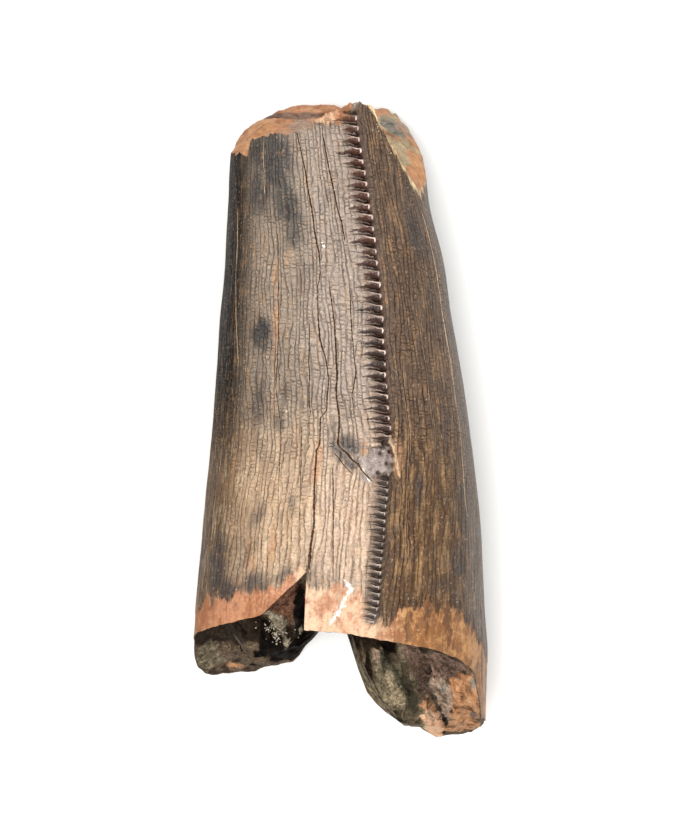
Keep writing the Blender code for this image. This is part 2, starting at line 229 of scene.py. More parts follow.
# Pale lines: edges where the enamel is worn, streaks beside the keel, and a white mineral film. The line
# down the left side is a painted reflection, and the streak right of the keel by the scar is a painted
# highlight.
PALE_LINES = (
    ((16.9, -8.1, 0), (16.5, -8.05, 0.04), (15.2, -8.0, 0.05), (13.4, -7.97, 0.04), (13.2, -8.0, 0),
     (12.6, -11.4, 0), (12.2, -11.37, 0.06), (10.9, -11.3, 0.08), (8.4, -11.2, 0.04), (5.6, -10.7, 0.06),
     (3.4, -10.3, 0.03), (3, -10.3, 0), (-0.9, 0.3, 0), (-1.0, 0.35, 0.12), (-1.7, 0.55, 0.14),
     (-2.5, 0.8, 0.16), (-3.1, 1.1, 0.1), (-3.3, 1.2, 0)),
    ((12.6, 5.9, 0), (12.0, 6.1, 0.09), (5.3, 6.47, 0.11), (0.2, 6.5, 0.04), (-4.6, 6.58, 0.06),
     (-6.0, 6.9, 0)),
    ((10.45, -3.62, 0), (10.35, -3.6, 0.1), (10.1, -3.5, 0.08), (9.95, -3.45, 0), (0.65, -6.3, 0),
     (0.6, -6.35, 0.09), (0.45, -6.5, 0.07), (0.4, -6.55, 0), (-2.2, -1.95, 0), (-2.3, -1.85, 0.06),
     (-2.9, -1.2, 0.09), (-3.4, -0.85, 0.05), (-3.5, -0.8, 0), (-5.2, -4.26, 0), (-5.5, -4.27, 0.05),
     (-6.2, -4.25, 0.06), (-6.4, -4.2, 0), (-8.9, -2.1, 0), (-9.2, -1.7, 0.16), (-9.6, -1.5, 0.2),
     (-10.1, -1.8, 0.12), (-10.8, -2.1, 0.2), (-11.4, -2.5, 0.12), (-11.7, -2.6, 0)),
)  # fmt: skip
LINE_WANDER = 0.045  # how far a line strays from its points
# Blue-black stains: (along, round, half length, half width, how strong).
STAINS = (
    (15.6, -7.6, 2.2, 2.0, 1.0), (13.6, -8.6, 1.8, 1.3, 0.9), (12.6, -6.4, 1.6, 1.5, 0.85),
    (10.6, -5.6, 0.8, 1.2, 0.6), (8.4, -5.2, 1.6, 0.8, 0.55), (4.9, -8.25, 0.95, 0.75, 1.0),
    (2.4, -8.3, 1.7, 0.5, 0.7), (0.2, -8.5, 1.2, 0.6, 0.6), (1.2, -6.6, 1.3, 0.4, 0.6),
    (-0.2, -6.9, 0.5, 0.4, 0.8), (-1.9, -6.0, 0.8, 0.5, 0.5), (-9.35, -7.5, 0.8, 0.95, 0.98),
    (-8.9, -5.5, 0.55, 0.8, 0.85), (-8.3, -10.8, 2.2, 0.9, 0.8), (-9.9, -9.2, 0.7, 1.0, 0.9),
    (-0.8, -3.6, 0.7, 0.5, 0.6), (-1.45, -2.5, 0.75, 0.95, 1.15), (-2.0, -2.8, 0.35, 0.45, 1.0),
    (-2.4, -2.1, 0.35, 0.4, 1.1), (-9.6, 4.0, 0.6, 1.6, 0.7), (-10.6, 3.0, 0.5, 0.4, 0.8),
    (-10.3, 5.4, 1.1, 0.4, 0.7), (11.6, 4.4, 2.6, 1.2, 0.6), (14.8, 3.0, 1.2, 0.8, 0.5),
    (6.5, 5.0, 2.2, 0.6, 0.5), (-6.5, 6.2, 4.6, 0.9, 0.75), (-5.2, -7.8, 1.0, 0.8, 0.72),
    (-4.6, -5.6, 0.7, 0.35, 0.7), (-3.9, 2.5, 1.3, 0.35, 0.9), (0.8, 2.6, 1.2, 0.4, 0.6),
    (9.0, -12.6, 7.5, 1.3, 0.8), (-6.5, -13.0, 5.0, 1.2, 0.6), (8.0, 18.0, 6.0, 4.0, 0.9),
    (-6.0, 25.0, 4.0, 3.0, 0.8),
)  # fmt: skip
# Rust-orange places in the enamel, in the same way.
RUST = (
    (6.0, -7.15, 2.8, 0.17, 1.3), (-2.4, -4.35, 1.0, 0.28, 1.5), (-1.5, -1.4, 0.35, 0.18, 1.8),
    (-2.0, 0.9, 0.9, 0.28, 2.0), (9.6, -5.9, 0.9, 1.4, 0.6), (10.2, -7.3, 0.7, 0.5, 0.6),
    (8.2, 0.6, 1.8, 0.5, 0.7), (14.6, 3.6, 1.4, 0.3, 0.7), (15.8, -7.0, 0.8, 0.2, 0.6),
    (13.3, -7.0, 1.2, 0.2, 0.5), (-6.8, -6.6, 1.4, 0.3, 0.9), (-7.6, -8.0, 1.2, 0.3, 1.0),
    (-10.9, -8.2, 0.9, 1.2, 0.5), (-3.0, -9.9, 2.4, 0.3, 0.8), (3.2, 3.2, 2.2, 0.3, 0.4),
)  # fmt: skip
CHIPPED_TIP = 16.9  # the enamel has chipped off beyond here, beside the keel
# Where the enamel ends over the dentine, by column.
BARE_LINE = (
    (-148, -13.0), (-100, -12.6), (-75, -11.2), (-60, -10.2), (-45, -10.0), (-38, -9.7), (-31, -9.7),
    (-24, -9.3), (-20, -8.7), (-14, -8.2), (-11, -9.3), (3, -9.5), (9, -9.6), (13, -10.4), (16, -11.4),
    (22, -11.6), (26, -10.7), (38, -10.6), (51, -10.9), (60, -11.5), (68, -12.6), (90, -14.6), (120, -15.6),
    (160, -15.0), (182, -10.5), (200, -12.0), (212, -13.0),
)  # fmt: skip
# Attributes of three values each: (name, the kind of fact that it holds, the first of the three).
TRIPLES = (
    ("cracks", "crack", 0), ("more_cracks", "crack", 3), ("last_cracks", "crack", 6),
    ("pale_lines", "pale", 0), ("keels", "keels", 0),
)  # fmt: skip

# ---------------------------------------------------------------- the breaks
FLAKE_SIZE = (1.9, 2.0, 1.3)  # shells broken out of the tip
FLAKE_DEPTH = 0.4
TIP_SWELL = (0.55, 0.72, 0.22)  # height, and middle and half width as shares of the way to the rim
OVERHANG = 1.3  # how far the left of the base rim hangs over the cavity
RIM_RIDGE_SIZE = 0.8
RIM_LUMP_SIZE = 1.1
RIM_RELIEF = 0.35
WRINKLE_SIZE = (1.3, 1.6, 1.3)  # in the pulp cavity
WRINKLE_HEIGHT = 0.5
CREVICE_DEPTH = 0.8
CREVICE = ((4.2, -14.2), (6.5, -18.7))  # its two ends, in the rim of the right lobe
CREVICE_HALF_WIDTH = 0.22
# What colours the breaks, seen from above: (x, y, half length in x, half length in y, how strong). Most are
# stains. The dark places are painted shade under the enamel's edges and in cracks, the void is painted
# shadow in the deep hollows, and the last orange place is a painted highlight on the left lobe's lower edge.
BREAK_STAINS = {
    "orange": ((7.4, -16.6, 0.75, 1.6, 1.5), (5.0, 15.9, 0.8, 1.4, 1.0), (7.2, -18.5, 1.2, 0.5, 1.3),
        (-5.6, 17.0, 2.2, 1.6, 0.8), (5.3, -17.5, 0.55, 0.4, 1.1), (-6.8, -15.2, 0.75, 0.28, 0.62)),
    "cream": ((2.6, 17.6, 0.35, 1.6, 1.2), (3.3, 16.4, 0.5, 1.0, 1.2), (3.9, 15.6, 0.5, 0.9, 1.0),
        (2.9, -16.1, 0.4, 0.6, 0.7), (3.35, -17.2, 0.5, 0.8, 0.72), (2.2, -15.4, 0.3, 0.4, 0.7),
        (4.3, -15.6, 0.14, 0.5, 0.9)),
    "ash": ((5.75, -15.7, 0.45, 0.6, 1.3), (6.3, -16.7, 0.4, 0.9, 1.2), (6.3, -17.7, 0.25, 0.5, 1.0),
        (3.6, 18.0, 0.6, 0.6, 1.2), (7.9, -15.5, 0.3, 0.35, 1.0), (1.95, -14.4, 0.25, 0.6, 1.0),
        (-2.1, 17.9, 0.9, 0.8, 1.0)),
    "olive": ((2.8, -16.2, 1.6, 2.0, 1.4), (3.9, -18.3, 1.1, 1.2, 1.3), (-8.1, -14.6, 0.7, 0.65, 1.3)),
    "rust": ((-3.4, -10.5, 1.5, 1.3, 1.6), (-4.6, -11.4, 0.9, 0.6, 1.0)),
    "brown": ((5.3, -14.4, 1.7, 0.7, 1.3), (4.75, -15.5, 0.35, 0.6, 1.1), (5.1, -16.4, 0.33, 0.6, 1.1),
        (8.0, -17.6, 0.25, 0.35, 0.8), (-2.0, 18.8, 2.2, 0.25, 0.8)),
    "dark": ((-7.6, -13.4, 1.4, 0.45, 1.6), (-5.5, -12.8, 1.4, 0.55, 1.7), (1.6, -13.5, 1.6, 0.5, 1.3),
        (1.5, -15.2, 0.12, 0.9, 1.1), (2.2, -16.9, 0.1, 0.8, 1.0), (3.0, -18.2, 0.1, 0.7, 1.0),
        (6.25, -16.3, 0.22, 0.22, 0.55), (6.65, -17.2, 0.2, 0.25, 0.6), (6.4, -18.2, 0.1, 0.5, 1.1),
        (4.0, -12.6, 6.0, 0.8, 1.2)),
    "void": ((-3.3, -14.0, 1.2, 1.0, 1.6), (-2.05, -11.6, 0.3, 1.9, 1.3), (2.75, -13.9, 0.45, 0.45, 1.4)),
    "facet": ((5.6, -18.5, 0.42, 0.85, 2.4),),
    "calcite": ((-4.0, -11.9, 0.5, 0.3, 0.8), (-3.4, -12.4, 0.6, 0.45, 0.85),
        (-2.8, -13.0, 0.3, 0.35, 0.8)),
    "mould": ((2.55, -14.9, 0.4, 0.6, 1.0), (3.2, -15.8, 0.35, 0.5, 1.0), (3.9, -16.7, 0.4, 0.6, 1.2),
        (4.35, -17.4, 0.35, 0.6, 1.1), (3.4, -18.7, 0.8, 0.3, 0.6)),
    "slate": ((3.4, 17.9, 0.5, 0.6, 1.1), (2.8, 18.3, 0.25, 0.4, 0.9), (6.2, -15.9, 0.2, 0.35, 0.7),
        (7.9, -15.4, 0.25, 0.3, 0.8)),
}  # fmt: skip
# For each stain or painted shade of a break, its darkest and its palest colour. Later ones cover earlier
# ones.
BREAK_COLOURS = {
    "olive": ("#4b4031", "#9d8e72"), "mould": ("#25231a", "#65604c"), "orange": ("#a06b45", "#dba77c"),
    "cream": ("#8a785d", "#c8b391"), "ash": ("#7e6758", "#c2a58e"), "rust": ("#4f3324", "#865e49"),
    "brown": ("#4f3d33", "#977a6a"), "dark": ("#0e0a07", "#3d3024"), "void": ("#040302", "#0e0b09"),
    "facet": ("#c98f66", "#f0c8a6"), "calcite": ("#4d4132", "#b8ab92"), "slate": ("#5a5750", "#a09888"),
}  # fmt: skip
LESS_CREASED = {"facet": 0.15, "orange": 0.45}  # stains of smoother places, and the share of creases there
FOLD_SIZES = (1.1, 0.5)  # of the wrinkles in a break

# ---------------------------------------------------------------- the enamel's finish
STRIP_WIDTH = 0.35  # between the crazing lines
SCALE_LENGTH = 0.24  # between the short cross lines
ENAMEL_FACTS = ("slot", "keel", "chip", "bare", "stain", "rust")
# Noise in the enamel: its size across and along the crown, its detail and its roughness.
ENAMEL_GRAIN = {
    "streaks": (0.5, 2.2, 4.0, 0.6), "fibres": (0.12, 0.45, 2.0, 0.6), "mottle": (0.5, 0.8, 4.0, 0.7),
    "bands": (0.4, 2.4, 3.0, 0.6), "drips": (0.9, 3.0, 4.0, 0.65),
}  # fmt: skip
# Bare dentine where it is copper, cream, gold and straw: its deeper and its paler colour.
DENTINE_COLOURS = (
    ("#a96d47", "#c48a66"), ("#bd815a", "#deb794"), ("#8c5d36", "#bd8a58"), ("#c09a6c", "#ecd6a8"),
)  # fmt: skip

# ---------------------------------------------------------------- grains
# Patches of calcite grains, seen from above: (x, y, half length in x, half length in y, how many, size).
GRAIN_PATCHES = (
    (-4.0, -11.9, 0.5, 0.3, 30, 0.05), (-3.4, -12.4, 0.6, 0.45, 50, 0.06),
    (-2.8, -13.0, 0.3, 0.4, 24, 0.05), (2.3, 17.5, 0.08, 0.7, 12, 0.05), (3.0, 15.8, 0.1, 0.7, 12, 0.05),
    (-3.1, 0.55, 0.1, 0.08, 3, 0.06), (-0.9, 10.3, 0.12, 0.15, 3, 0.06), (-1.5, -5.8, 0.03, 0.3, 5, 0.05),
)  # fmt: skip
GRAIN_SPREAD = 0.55  # share of a patch's half lengths
GRAIN_DROP = 30  # height from which the grains are dropped on the skin
GRAIN_LIFT = 0.02  # how far a grain's middle stands off the skin
GRAIN_SEED = 4

# ---------------------------------------------------------------- floor, light and camera
FLOOR_SIZE = 2.0  # metres
CAMERA_X, CAMERA_Y, CAMERA_Z = 0.66, 0.547, 170.0
PICTURE_HEIGHT = 825  # pixels
FOCAL = 2700  # pixels
SENSOR = 36.0
CLIP_START = 0.005  # metres
SKY = 0.22  # strength of the white sky
# Lamps that face the tooth: (name, place in metres, size in metres, watts). The small one lights the keel's
# edges.
LAMPS = (("window", (-0.03, -0.03, 0.29), 0.16, 1.15), ("spark", (0.10, 0.20, 0.16), 0.03, 0.3))


# ---------------------------------------------------------------- lines and noise
def smooth(points, at):
    """A smooth curve through (place, value) points, read at many places."""
    xs, ys = np.array(sorted(points), float).T
    last = len(xs) - 1
    before, after = np.maximum(np.arange(last + 1) - 1, 0), np.minimum(np.arange(last + 1) + 1, last)
    slopes = (ys[after] - ys[before]) / (xs[after] - xs[before])
    at = np.clip(at, xs[0], xs[-1])
    i = np.clip(np.searchsorted(xs, at, side="right") - 1, 0, last - 1)
    span = xs[i + 1] - xs[i]
    t = (at - xs[i]) / span
    rise = (2 * t**3 - 3 * t**2 + 1) * ys[i] + (3 * t**2 - 2 * t**3) * ys[i + 1]
    return rise + span * ((t**3 - 2 * t**2 + t) * slopes[i] + (t**3 - t**2) * slopes[i + 1])


def straight(points, at):
    """The straight lines through (place, value) points, read at many places."""
    xs, ys = np.array(points, float).T
    return np.interp(at, xs, ys)


def step(low, high, at):
    """0 below low, 1 above high, and a smooth rise between them."""
    t = np.clip((at - low) / (high - low), 0, 1)
    return t * t * (3 - 2 * t)


def lumps(points, size, octaves=3, seed=0.0):
    """Random smooth heights, about -1 to 1, at points in millimetres. The size may differ by axis."""
    scaled = points / np.asarray(size, float) + seed
    flat = [noise.fractal(Vector(p), 1.0, 2.1, octaves) for p in scaled.reshape(-1, 3)]
    return np.array(flat).reshape(scaled.shape[:-1])


def ridged(points, size, seed):
    """Heights with sharp creases between rounded ridges, about -0.5 to 0.5."""
    return 0.5 - 2.2 * np.abs(lumps(points, size, 3, seed))


def hump(away):
    """1 in the middle and next to nothing two half widths away."""
    return np.exp(-(away**2))


# ---------------------------------------------------------------- the crown's shape
def wall_radius(angle, y):
    """Radius of the crown's wall: a rounded section that is turned a little."""
    turn = np.radians(angle - SECTION_TURN)
    roundness = np.where(np.cos(turn) > 0, FRONT_ROUNDNESS, BACK_ROUNDNESS)
    across = np.abs(np.sin(turn)) / smooth(HALF_WIDTH, y)
    deep = np.abs(np.cos(turn)) / smooth(HALF_DEPTH, y)
    return (across**roundness + deep**roundness) ** (-1 / roundness)


def place(angle, y, radius):
    """Points at a distance from the crown's axis."""
    turn = np.radians(angle)
    axis_z = smooth(BACK_Z, y) + smooth(HALF_DEPTH, y)
    x = smooth(AXIS_X, y) + radius * np.sin(turn)
    return np.stack([x, y + 0 * turn, axis_z + radius * np.cos(turn)], -1)


def crest_angle(y):
    """The angle of the front crest, which follows CREST_X seen from above."""
    offset = smooth(CREST_X, y) - smooth(AXIS_X, y)
    angle = np.zeros_like(offset)
    for _ in range(8):
        angle = np.degrees(np.arcsin(offset / (wall_radius(angle, y) + CREST_HEIGHT)))
    return angle


CREST_AT_BASE = float(crest_angle(np.array(CREST_FOOT_Y)))


def column_angle(column, y):
    """A column leans with the front crest, and less so towards the back."""
    lean = crest_angle(y) - CREST_AT_BASE
    back = BACK_CREST - 360
    right = (BACK_CREST - column) / (BACK_CREST - CREST_AT_BASE)
    left = (column - back) / (CREST_AT_BASE - back)
    return column + lean * np.where(column >= CREST_AT_BASE, right, left)


def around_keel(column):
    """How far round the crown a column is from the front keel, in millimetres at the base."""
    return np.radians(column - CREST_AT_BASE) * BASE_RADIUS


def jagged(column, height, size, seed):
    """How far a broken edge steps up and down along its columns. Both ends of the sheet agree."""
    turn = np.radians(column)
    ring = np.stack([np.sin(turn), np.cos(turn), 0 * turn], -1) * BASE_RADIUS
    return height * lumps(ring, size, 3, seed)


def tip_edge(column):
    """Where the enamel ends at the tip, chipped in small steps."""
    chips = 0.5 * TIP_STEP * np.round(jagged(column, 0.5, 0.8, 3.7) / TIP_STEP)
    return straight(TIP_EDGE, column) + chips - 0.12 + jagged(column, 0.08, 0.3, 9.1)


def base_edge(column):
    """Where the wall ends at the base. It is rougher along its two lobes."""
    lobes = step(60, 80, column) + step(-75, -95, column)
    small = jagged(column, 0.06, 0.45, 1.3) + 0.02
    return straight(BASE_EDGE, column) + small + lobes * (jagged(column, 0.25, 1.8, 6.1) + 0.08)


def denticle_slots():
    """Places along the front crest of the slots between its denticles."""
    top, bottom = straight(TIP_EDGE, CREST_AT_BASE), straight(BASE_EDGE, CREST_AT_BASE)
    pairs = [float(top)]
    while pairs[-1] - 3 * smooth(PITCH, pairs[-1]) >= bottom:
        pairs.append(pairs[-1] - 2 * float(smooth(PITCH, pairs[-1])))
    pairs.append(float(bottom))
    return np.interp(np.arange(2 * len(pairs) - 1) / 2, np.arange(len(pairs)), pairs)


def wall_y(column, share):
    """Place along the crown of the wall's rows, which are level and lean to a broken edge near it."""
    top, bottom = straight(TIP_EDGE, CREST_AT_BASE), straight(BASE_EDGE, CREST_AT_BASE)
    at_tip = np.maximum(0, 1 - share / TIP_STRETCH_TO)
    at_base = np.maximum(0, (share - BASE_STRETCH_FROM) / (1 - BASE_STRETCH_FROM))
    y = top + (bottom - top) * share
    return y + (tip_edge(column) - top) * at_tip + (base_edge(column) - bottom) * at_base


def columns():
    """The columns of the sheet, in degrees at the base, from the back crest round to itself."""
    keel = CREST_AT_BASE + np.degrees(np.array(KEEL_COLUMNS) / BASE_RADIUS)
    to_keel = (NOTCH_COLUMNS[-1][1], keel[0], COLUMNS_TO_KEEL)
    found = []
    for start, stop, count in LEFT_COLUMNS + NOTCH_COLUMNS + (to_keel,):
        found += list(np.linspace(start, stop, count, endpoint=False))
    found += list(keel[:-1])
    start = keel[-1]
    for stop, count in RIGHT_COLUMNS:
        found += list(np.linspace(start, stop, count, endpoint=False))
        start = stop
    return np.array(found + [BACK_CREST])


def cavity_share(y):
    """How wide the pulp cavity still is, as a share of its mouth."""
    left = (CAVITY_END_Y - y) / (CAVITY_END_Y - CAVITY_MOUTH_Y)
    return np.clip(left, 0, 1) ** CAVITY_TAPER


def lie_down(places):
    """Turns points of the upright crown to where the tooth rests, in metres and inside the solid's box."""
    roll, pitch = math.radians(ROLL), math.radians(PITCH_DOWN)
    near_y, far_y = math.cos(roll), math.sin(roll)
    near_x, far_x = math.cos(pitch), math.sin(pitch)
    turn_y = np.array(((near_y, 0, -far_y), (0, 1, 0), (far_y, 0, near_y)))
    turn_x = np.array(((1, 0, 0), (0, near_x, -far_x), (0, far_x, near_x)))
    low, high = (np.array(corner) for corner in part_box("tooth"))
    return np.clip((places @ (turn_x @ turn_y).T + np.array(SHIFT)) * MM, low, high)


class Skin:
    """The sheet's places, and what each of its points tells the materials."""

    def __init__(self):
        self.columns = columns()
        self.rows = []
        self.facts = []
        self.sections = []

    def add(self, section, places, **facts):
        """Adds rows of points, with a value for each point under each fact's name."""
        self.rows.append(places)
        self.facts.append(facts)
        self.sections += [section] * len(places)

    def fact(self, name):
        """One fact for every point of the sheet, 0 in the sections that don't have it."""
        return np.concatenate(
            [facts.get(name, np.zeros(places.shape[:2])) for places, facts in zip(self.rows, self.facts)]
        )


# ---------------------------------------------------------------- what marks the enamel
def keel(across, y, number, phase, chip):
    """Height of a keel with its denticles, how far each point is in a slot, and how far on the keel."""
    dice = np.random.default_rng(SEED)
    tall = 1 + TALL_SPREAD * dice.standard_normal(DENTICLES_DRAWN)
    shift = SHIFT_SPREAD * dice.standard_normal(DENTICLES_DRAWN)
    reach = dice.uniform(*REACHES, DENTICLES_DRAWN)
    wide = dice.uniform(*SLOT_WIDTHS, DENTICLES_DRAWN)
    reaches = reach[number] * np.interp(y, WORN_FOOT, (0.55, 1.0))
    bent = phase + shift[number]
    above = np.abs(bent) / (SLOT_HALF_WIDTH * 0.75)
    below = np.abs(1 - bent) / (SLOT_HALF_WIDTH * 1.5 * wide[number])
    slot = hump(np.minimum(above, below))
    cut = smooth(SLOT_DEPTH, across / np.where(across < 0, reaches, 1.0))
    body = smooth(KEEL_HEIGHT, across / np.where(across < 0, np.sqrt(reaches), 1.0))
    dome = DOME * np.cos(2 * np.pi * (phase - 0.3)) * cut
    height = CREST_HEIGHT * body * (1 + (tall[number] - 1) * cut) + dome
    shallow = np.interp(y, (WORN_FOOT[0], -2), (0.5, 1.0))
    height = height * (1 - 0.85 * chip) - SLOT_CUT * shallow * slot * cut * (1 - chip)
    return height, slot * cut * (1 - chip), body


def chipped(around, y, uneven):
    """How far the enamel is flaked off by the front keel, 0 to 1, how deep it lies there, and its pits."""
    scar_y, scar_around, half_length, half_width = SCAR
    scar = np.hypot((y - scar_y) / half_length, (around - scar_around) / half_width) + 0.55 * uneven
    scar = step(1.06, 0.94, scar)
    (y_0, around_0), (y_1, around_1), half_width = SPALL
    run = np.array((y_1 - y_0, around_1 - around_0))
    length = np.hypot(*run)
    share = ((y - y_0) * run[0] + (around - around_0) * run[1]) / length**2
    away = np.abs((y - y_0) * run[1] - (around - around_0) * run[0]) / length
    ends = np.maximum(0, np.abs(share - 0.5) - 0.42) * 4
    spall = step(1.1, 0.85, away / half_width + ends + 0.6 * uneven)
    depth = SCAR_DEPTH * scar + SPALL_DEPTH * spall + 0.05 * (scar + spall) * uneven
    pitted = 0 * depth
    for pit_y, pit_around, size, deep in PITS:
        pit = hump((y - pit_y) / size) * hump((around - pit_around) / size)
        depth = depth + deep * pit
        pitted = np.maximum(pitted, pit * (deep > 0))
    return np.maximum.reduce((scar, 0.42 * spall, step(0.15, 0.4, pitted))), depth, pitted


def from_line(points, along, around):
    """How many of its own half widths a point is from a line, with a sign."""
    points = sorted(points)
    middle = straight([p[:2] for p in points], along)
    width = np.maximum(0.004, straight([(p[0], p[2]) for p in points], along))
    inside = (along > points[0][0]) & (along < points[-1][0])
    return np.where(inside, (around - middle) / width, 1000.0)


def markings(column, y):
    """Where the enamel is cracked, stained, or lost over the dentine."""
    around = around_keel(column)
    turn = np.radians(column)
    spot = np.stack([np.sin(turn) * BASE_RADIUS, y, np.cos(turn) * BASE_RADIUS], -1)
    wander = LINE_WANDER * lumps(spot, (0.9, 0.9, 0.9), 3, 12.5)
    facts = {"groove": 0 * y}
    for i, points in enumerate(CRACKS):
        away = from_line(points, y, around + wander)
        width = straight([(p[0], p[2]) for p in sorted(points)], y)
        facts[f"crack_{i}"] = away
        facts["groove"] = facts["groove"] + 1.2 * width * step(2.5, 0.2, np.abs(away))
    for i, points in enumerate(PALE_LINES):
        facts[f"pale_{i}"] = from_line(points, y, around + 1.5 * wander)
    for name, places in (("stain", STAINS), ("rust", RUST)):
        blotch = 0.3 * lumps(spot, (1.2, 1.7, 1.2), 3, 5.0)
        facts[name] = 0 * y
        for middle_y, middle_around, half_length, half_width, strong in places:
            away = np.hypot((y - middle_y) / half_length, (around - middle_around) / half_width)
            facts[name] = np.maximum(facts[name], strong * np.clip(1.35 - 0.7 * away + blotch, 0, 1))
    beside_keel = step(-10, -7, column) * step(KEEL_SIDE[1], KEEL_SIDE[0], column)
    chipped_off = 2 * (y - CHIPPED_TIP) * beside_keel - 1
    lip = 1.2 * (y - tip_edge(column)) + 0.42
    lip = lip * step(14, 26, column) - 2 * step(26, 14, column)
    facts["bare"] = np.maximum.reduce((straight(BARE_LINE, column) - y, chipped_off, lip))
    return facts


def crevice(at):
    """How deep each point is in the crevice of the right lobe, 0 to 1."""
    x, y = at[..., 0], at[..., 1]
    (x_0, y_0), (x_1, y_1) = CREVICE
    length = math.hypot(x_1 - x_0, y_1 - y_0)
    away = ((x - x_0) * (y_1 - y_0) - (y - y_0) * (x_1 - x_0)) / length
    along = ((x - x_0) * (x_1 - x_0) + (y - y_0) * (y_1 - y_0)) / length**2
    away = away + 0.35 * lumps(at, 0.7, 2, 9.9)
    return hump(away / CREVICE_HALF_WIDTH) * step(-0.1, 0.05, along) * step(1.1, 0.9, along)


def stains_of_break(at, ragged=0.35, size=0.9):
    """How strongly each kind of stain colours the points of a break, each 0 to 1."""
    x, y = at[..., 0], at[..., 1]
    facts = {}
    for i, (name, places) in enumerate(BREAK_STAINS.items()):
        blotch = ragged * lumps(at, size, 3, 4.4 + i)
        facts[name] = 0 * x
        for middle_x, middle_y, half_x, half_y, strong in places:
            away = np.hypot((x - middle_x) / half_x, (y - middle_y) / half_y)
            facts[name] = np.maximum(facts[name], strong * np.clip(1.3 - 0.8 * away + blotch, 0, 1))
        facts[name] = np.clip(facts[name], 0, 1)
    return facts


# ---------------------------------------------------------------- the sections of the skin
def build_cap(skin):
    """The break across the tip, from its middle out to its rim."""
    ring = np.linspace(0, 1, CAP_ROWS, endpoint=False) ** 0.8
    column, ring = np.meshgrid(skin.columns, ring)
    rim_y = tip_edge(column)
    angle = column_angle(column, rim_y)
    radius = wall_radius(angle, rim_y)
    slope = BREAK_SLOPE * np.cos(np.radians(angle)) * radius
    y = BREAK_MIDDLE_Y + slope * ring + (rim_y - BREAK_MIDDLE_Y - slope) * ring**BREAK_RIM
    at = place(angle, y, ring * radius)
    edge_fade = np.minimum(1, 4 * (1 - ring))
    back = step(0.2, -0.6, np.cos(np.radians(angle)))
    height, middle, half_width = TIP_SWELL
    swell = height * back * hump((ring - middle) / half_width)
    at[..., 1] += ROUGH_HEIGHT * lumps(at, 3.0, 2) * edge_fade + swell
    flakes = np.abs(lumps(at, FLAKE_SIZE, 3, 5.5))
    at[..., 1] -= FLAKE_DEPTH * flakes * np.minimum(1, 7 * (1 - ring))
    wavy = at.copy()
    wavy[..., 0] += 1.8 * lumps(at, 2.6, 3, 8.8) * step(9, 3, at[..., 2])
    facts = stains_of_break(wavy, 0.7, 1.7)
    pulp = np.hypot(ring, 0.1 * lumps(at, 1.0, 2, 7.2)) / 0.16
    facts["brown"] = np.maximum(facts["brown"], hump(pulp))
    skin.add("dentine", at, along=at[..., 1], hollow=np.clip(1.6 * flakes - 0.5, 0, 1), **facts)


def build_wall(skin):
    """The enamel, from the rim of the tip break down to the edge of the base, with both keels."""
    slots = denticle_slots()
    places = np.arange(len(slots) - 1)[:, None] + np.array(PHASES)
    ys = np.append(np.interp(places.ravel(), np.arange(len(slots)), slots), slots[-1])
    share = (slots[0] - ys) / (slots[0] - slots[-1])
    column, share = np.meshgrid(skin.columns, share)
    y = wall_y(column, share)
    counted = np.interp(-y, -slots, np.arange(len(slots)))
    number = np.minimum(counted.astype(int), len(slots) - 2)
    phase = counted - number
    angle = column_angle(column, y)
    radius = wall_radius(angle, y)
    front = np.radians(angle - crest_angle(y)) * radius
    back = np.radians((angle - BACK_CREST + 180) % 360 - 180) * radius
    inside = step(0.0, 0.02, share) * step(1.0, 0.98, share)
    y = y - HOOK * inside * (hump(front / HOOK_REACH) + hump(back / HOOK_REACH))

    at = place(angle, y, radius)
    uneven = lumps(at, 0.55, 3, 6.3)
    chip, depth, pitted = chipped(around_keel(column), y, uneven)
    height, slot, body = keel(front, y, number, phase, chip)
    back_height, back_slot, back_body = keel(back, y, number, phase, 0 * chip)
    front_fade = np.clip((y - CREST_BASE_Y) / CREST_FADE, 0, 1)
    relief = height * front_fade + back_height - depth - SUNK
    for swell, size, seed in SWELLS:
        relief += swell * lumps(at, size, 2, seed)
    facts = {
        "slot": np.maximum(np.maximum(slot * front_fade, back_slot), pitted),
        "keel": np.maximum(body * front_fade, back_body),
        "chip": chip,
    }
    facts.update(markings(column, y))
    relief -= facts.pop("groove")
    relief -= BARE_SUNK * step(-0.1, 0.1, facts["bare"])
    chunks = ridged(at, CHUNK_SIZE, 5.2)
    broken = step(*BROKEN_TIP, y) * step(KEEL_SIDE[1], KEEL_SIDE[0], column)
    relief -= CHUNK_DEPTH * broken * np.clip(0.5 - chunks, 0, 1)
    facts["slot"] = np.maximum(facts["slot"], 0.55 * broken * step(-0.1, -0.45, chunks))
    facts.update(keels_0=counted, keels_1=front, keels_2=back)
    skin.add("enamel", place(angle, y, radius + relief), along=y, **facts)


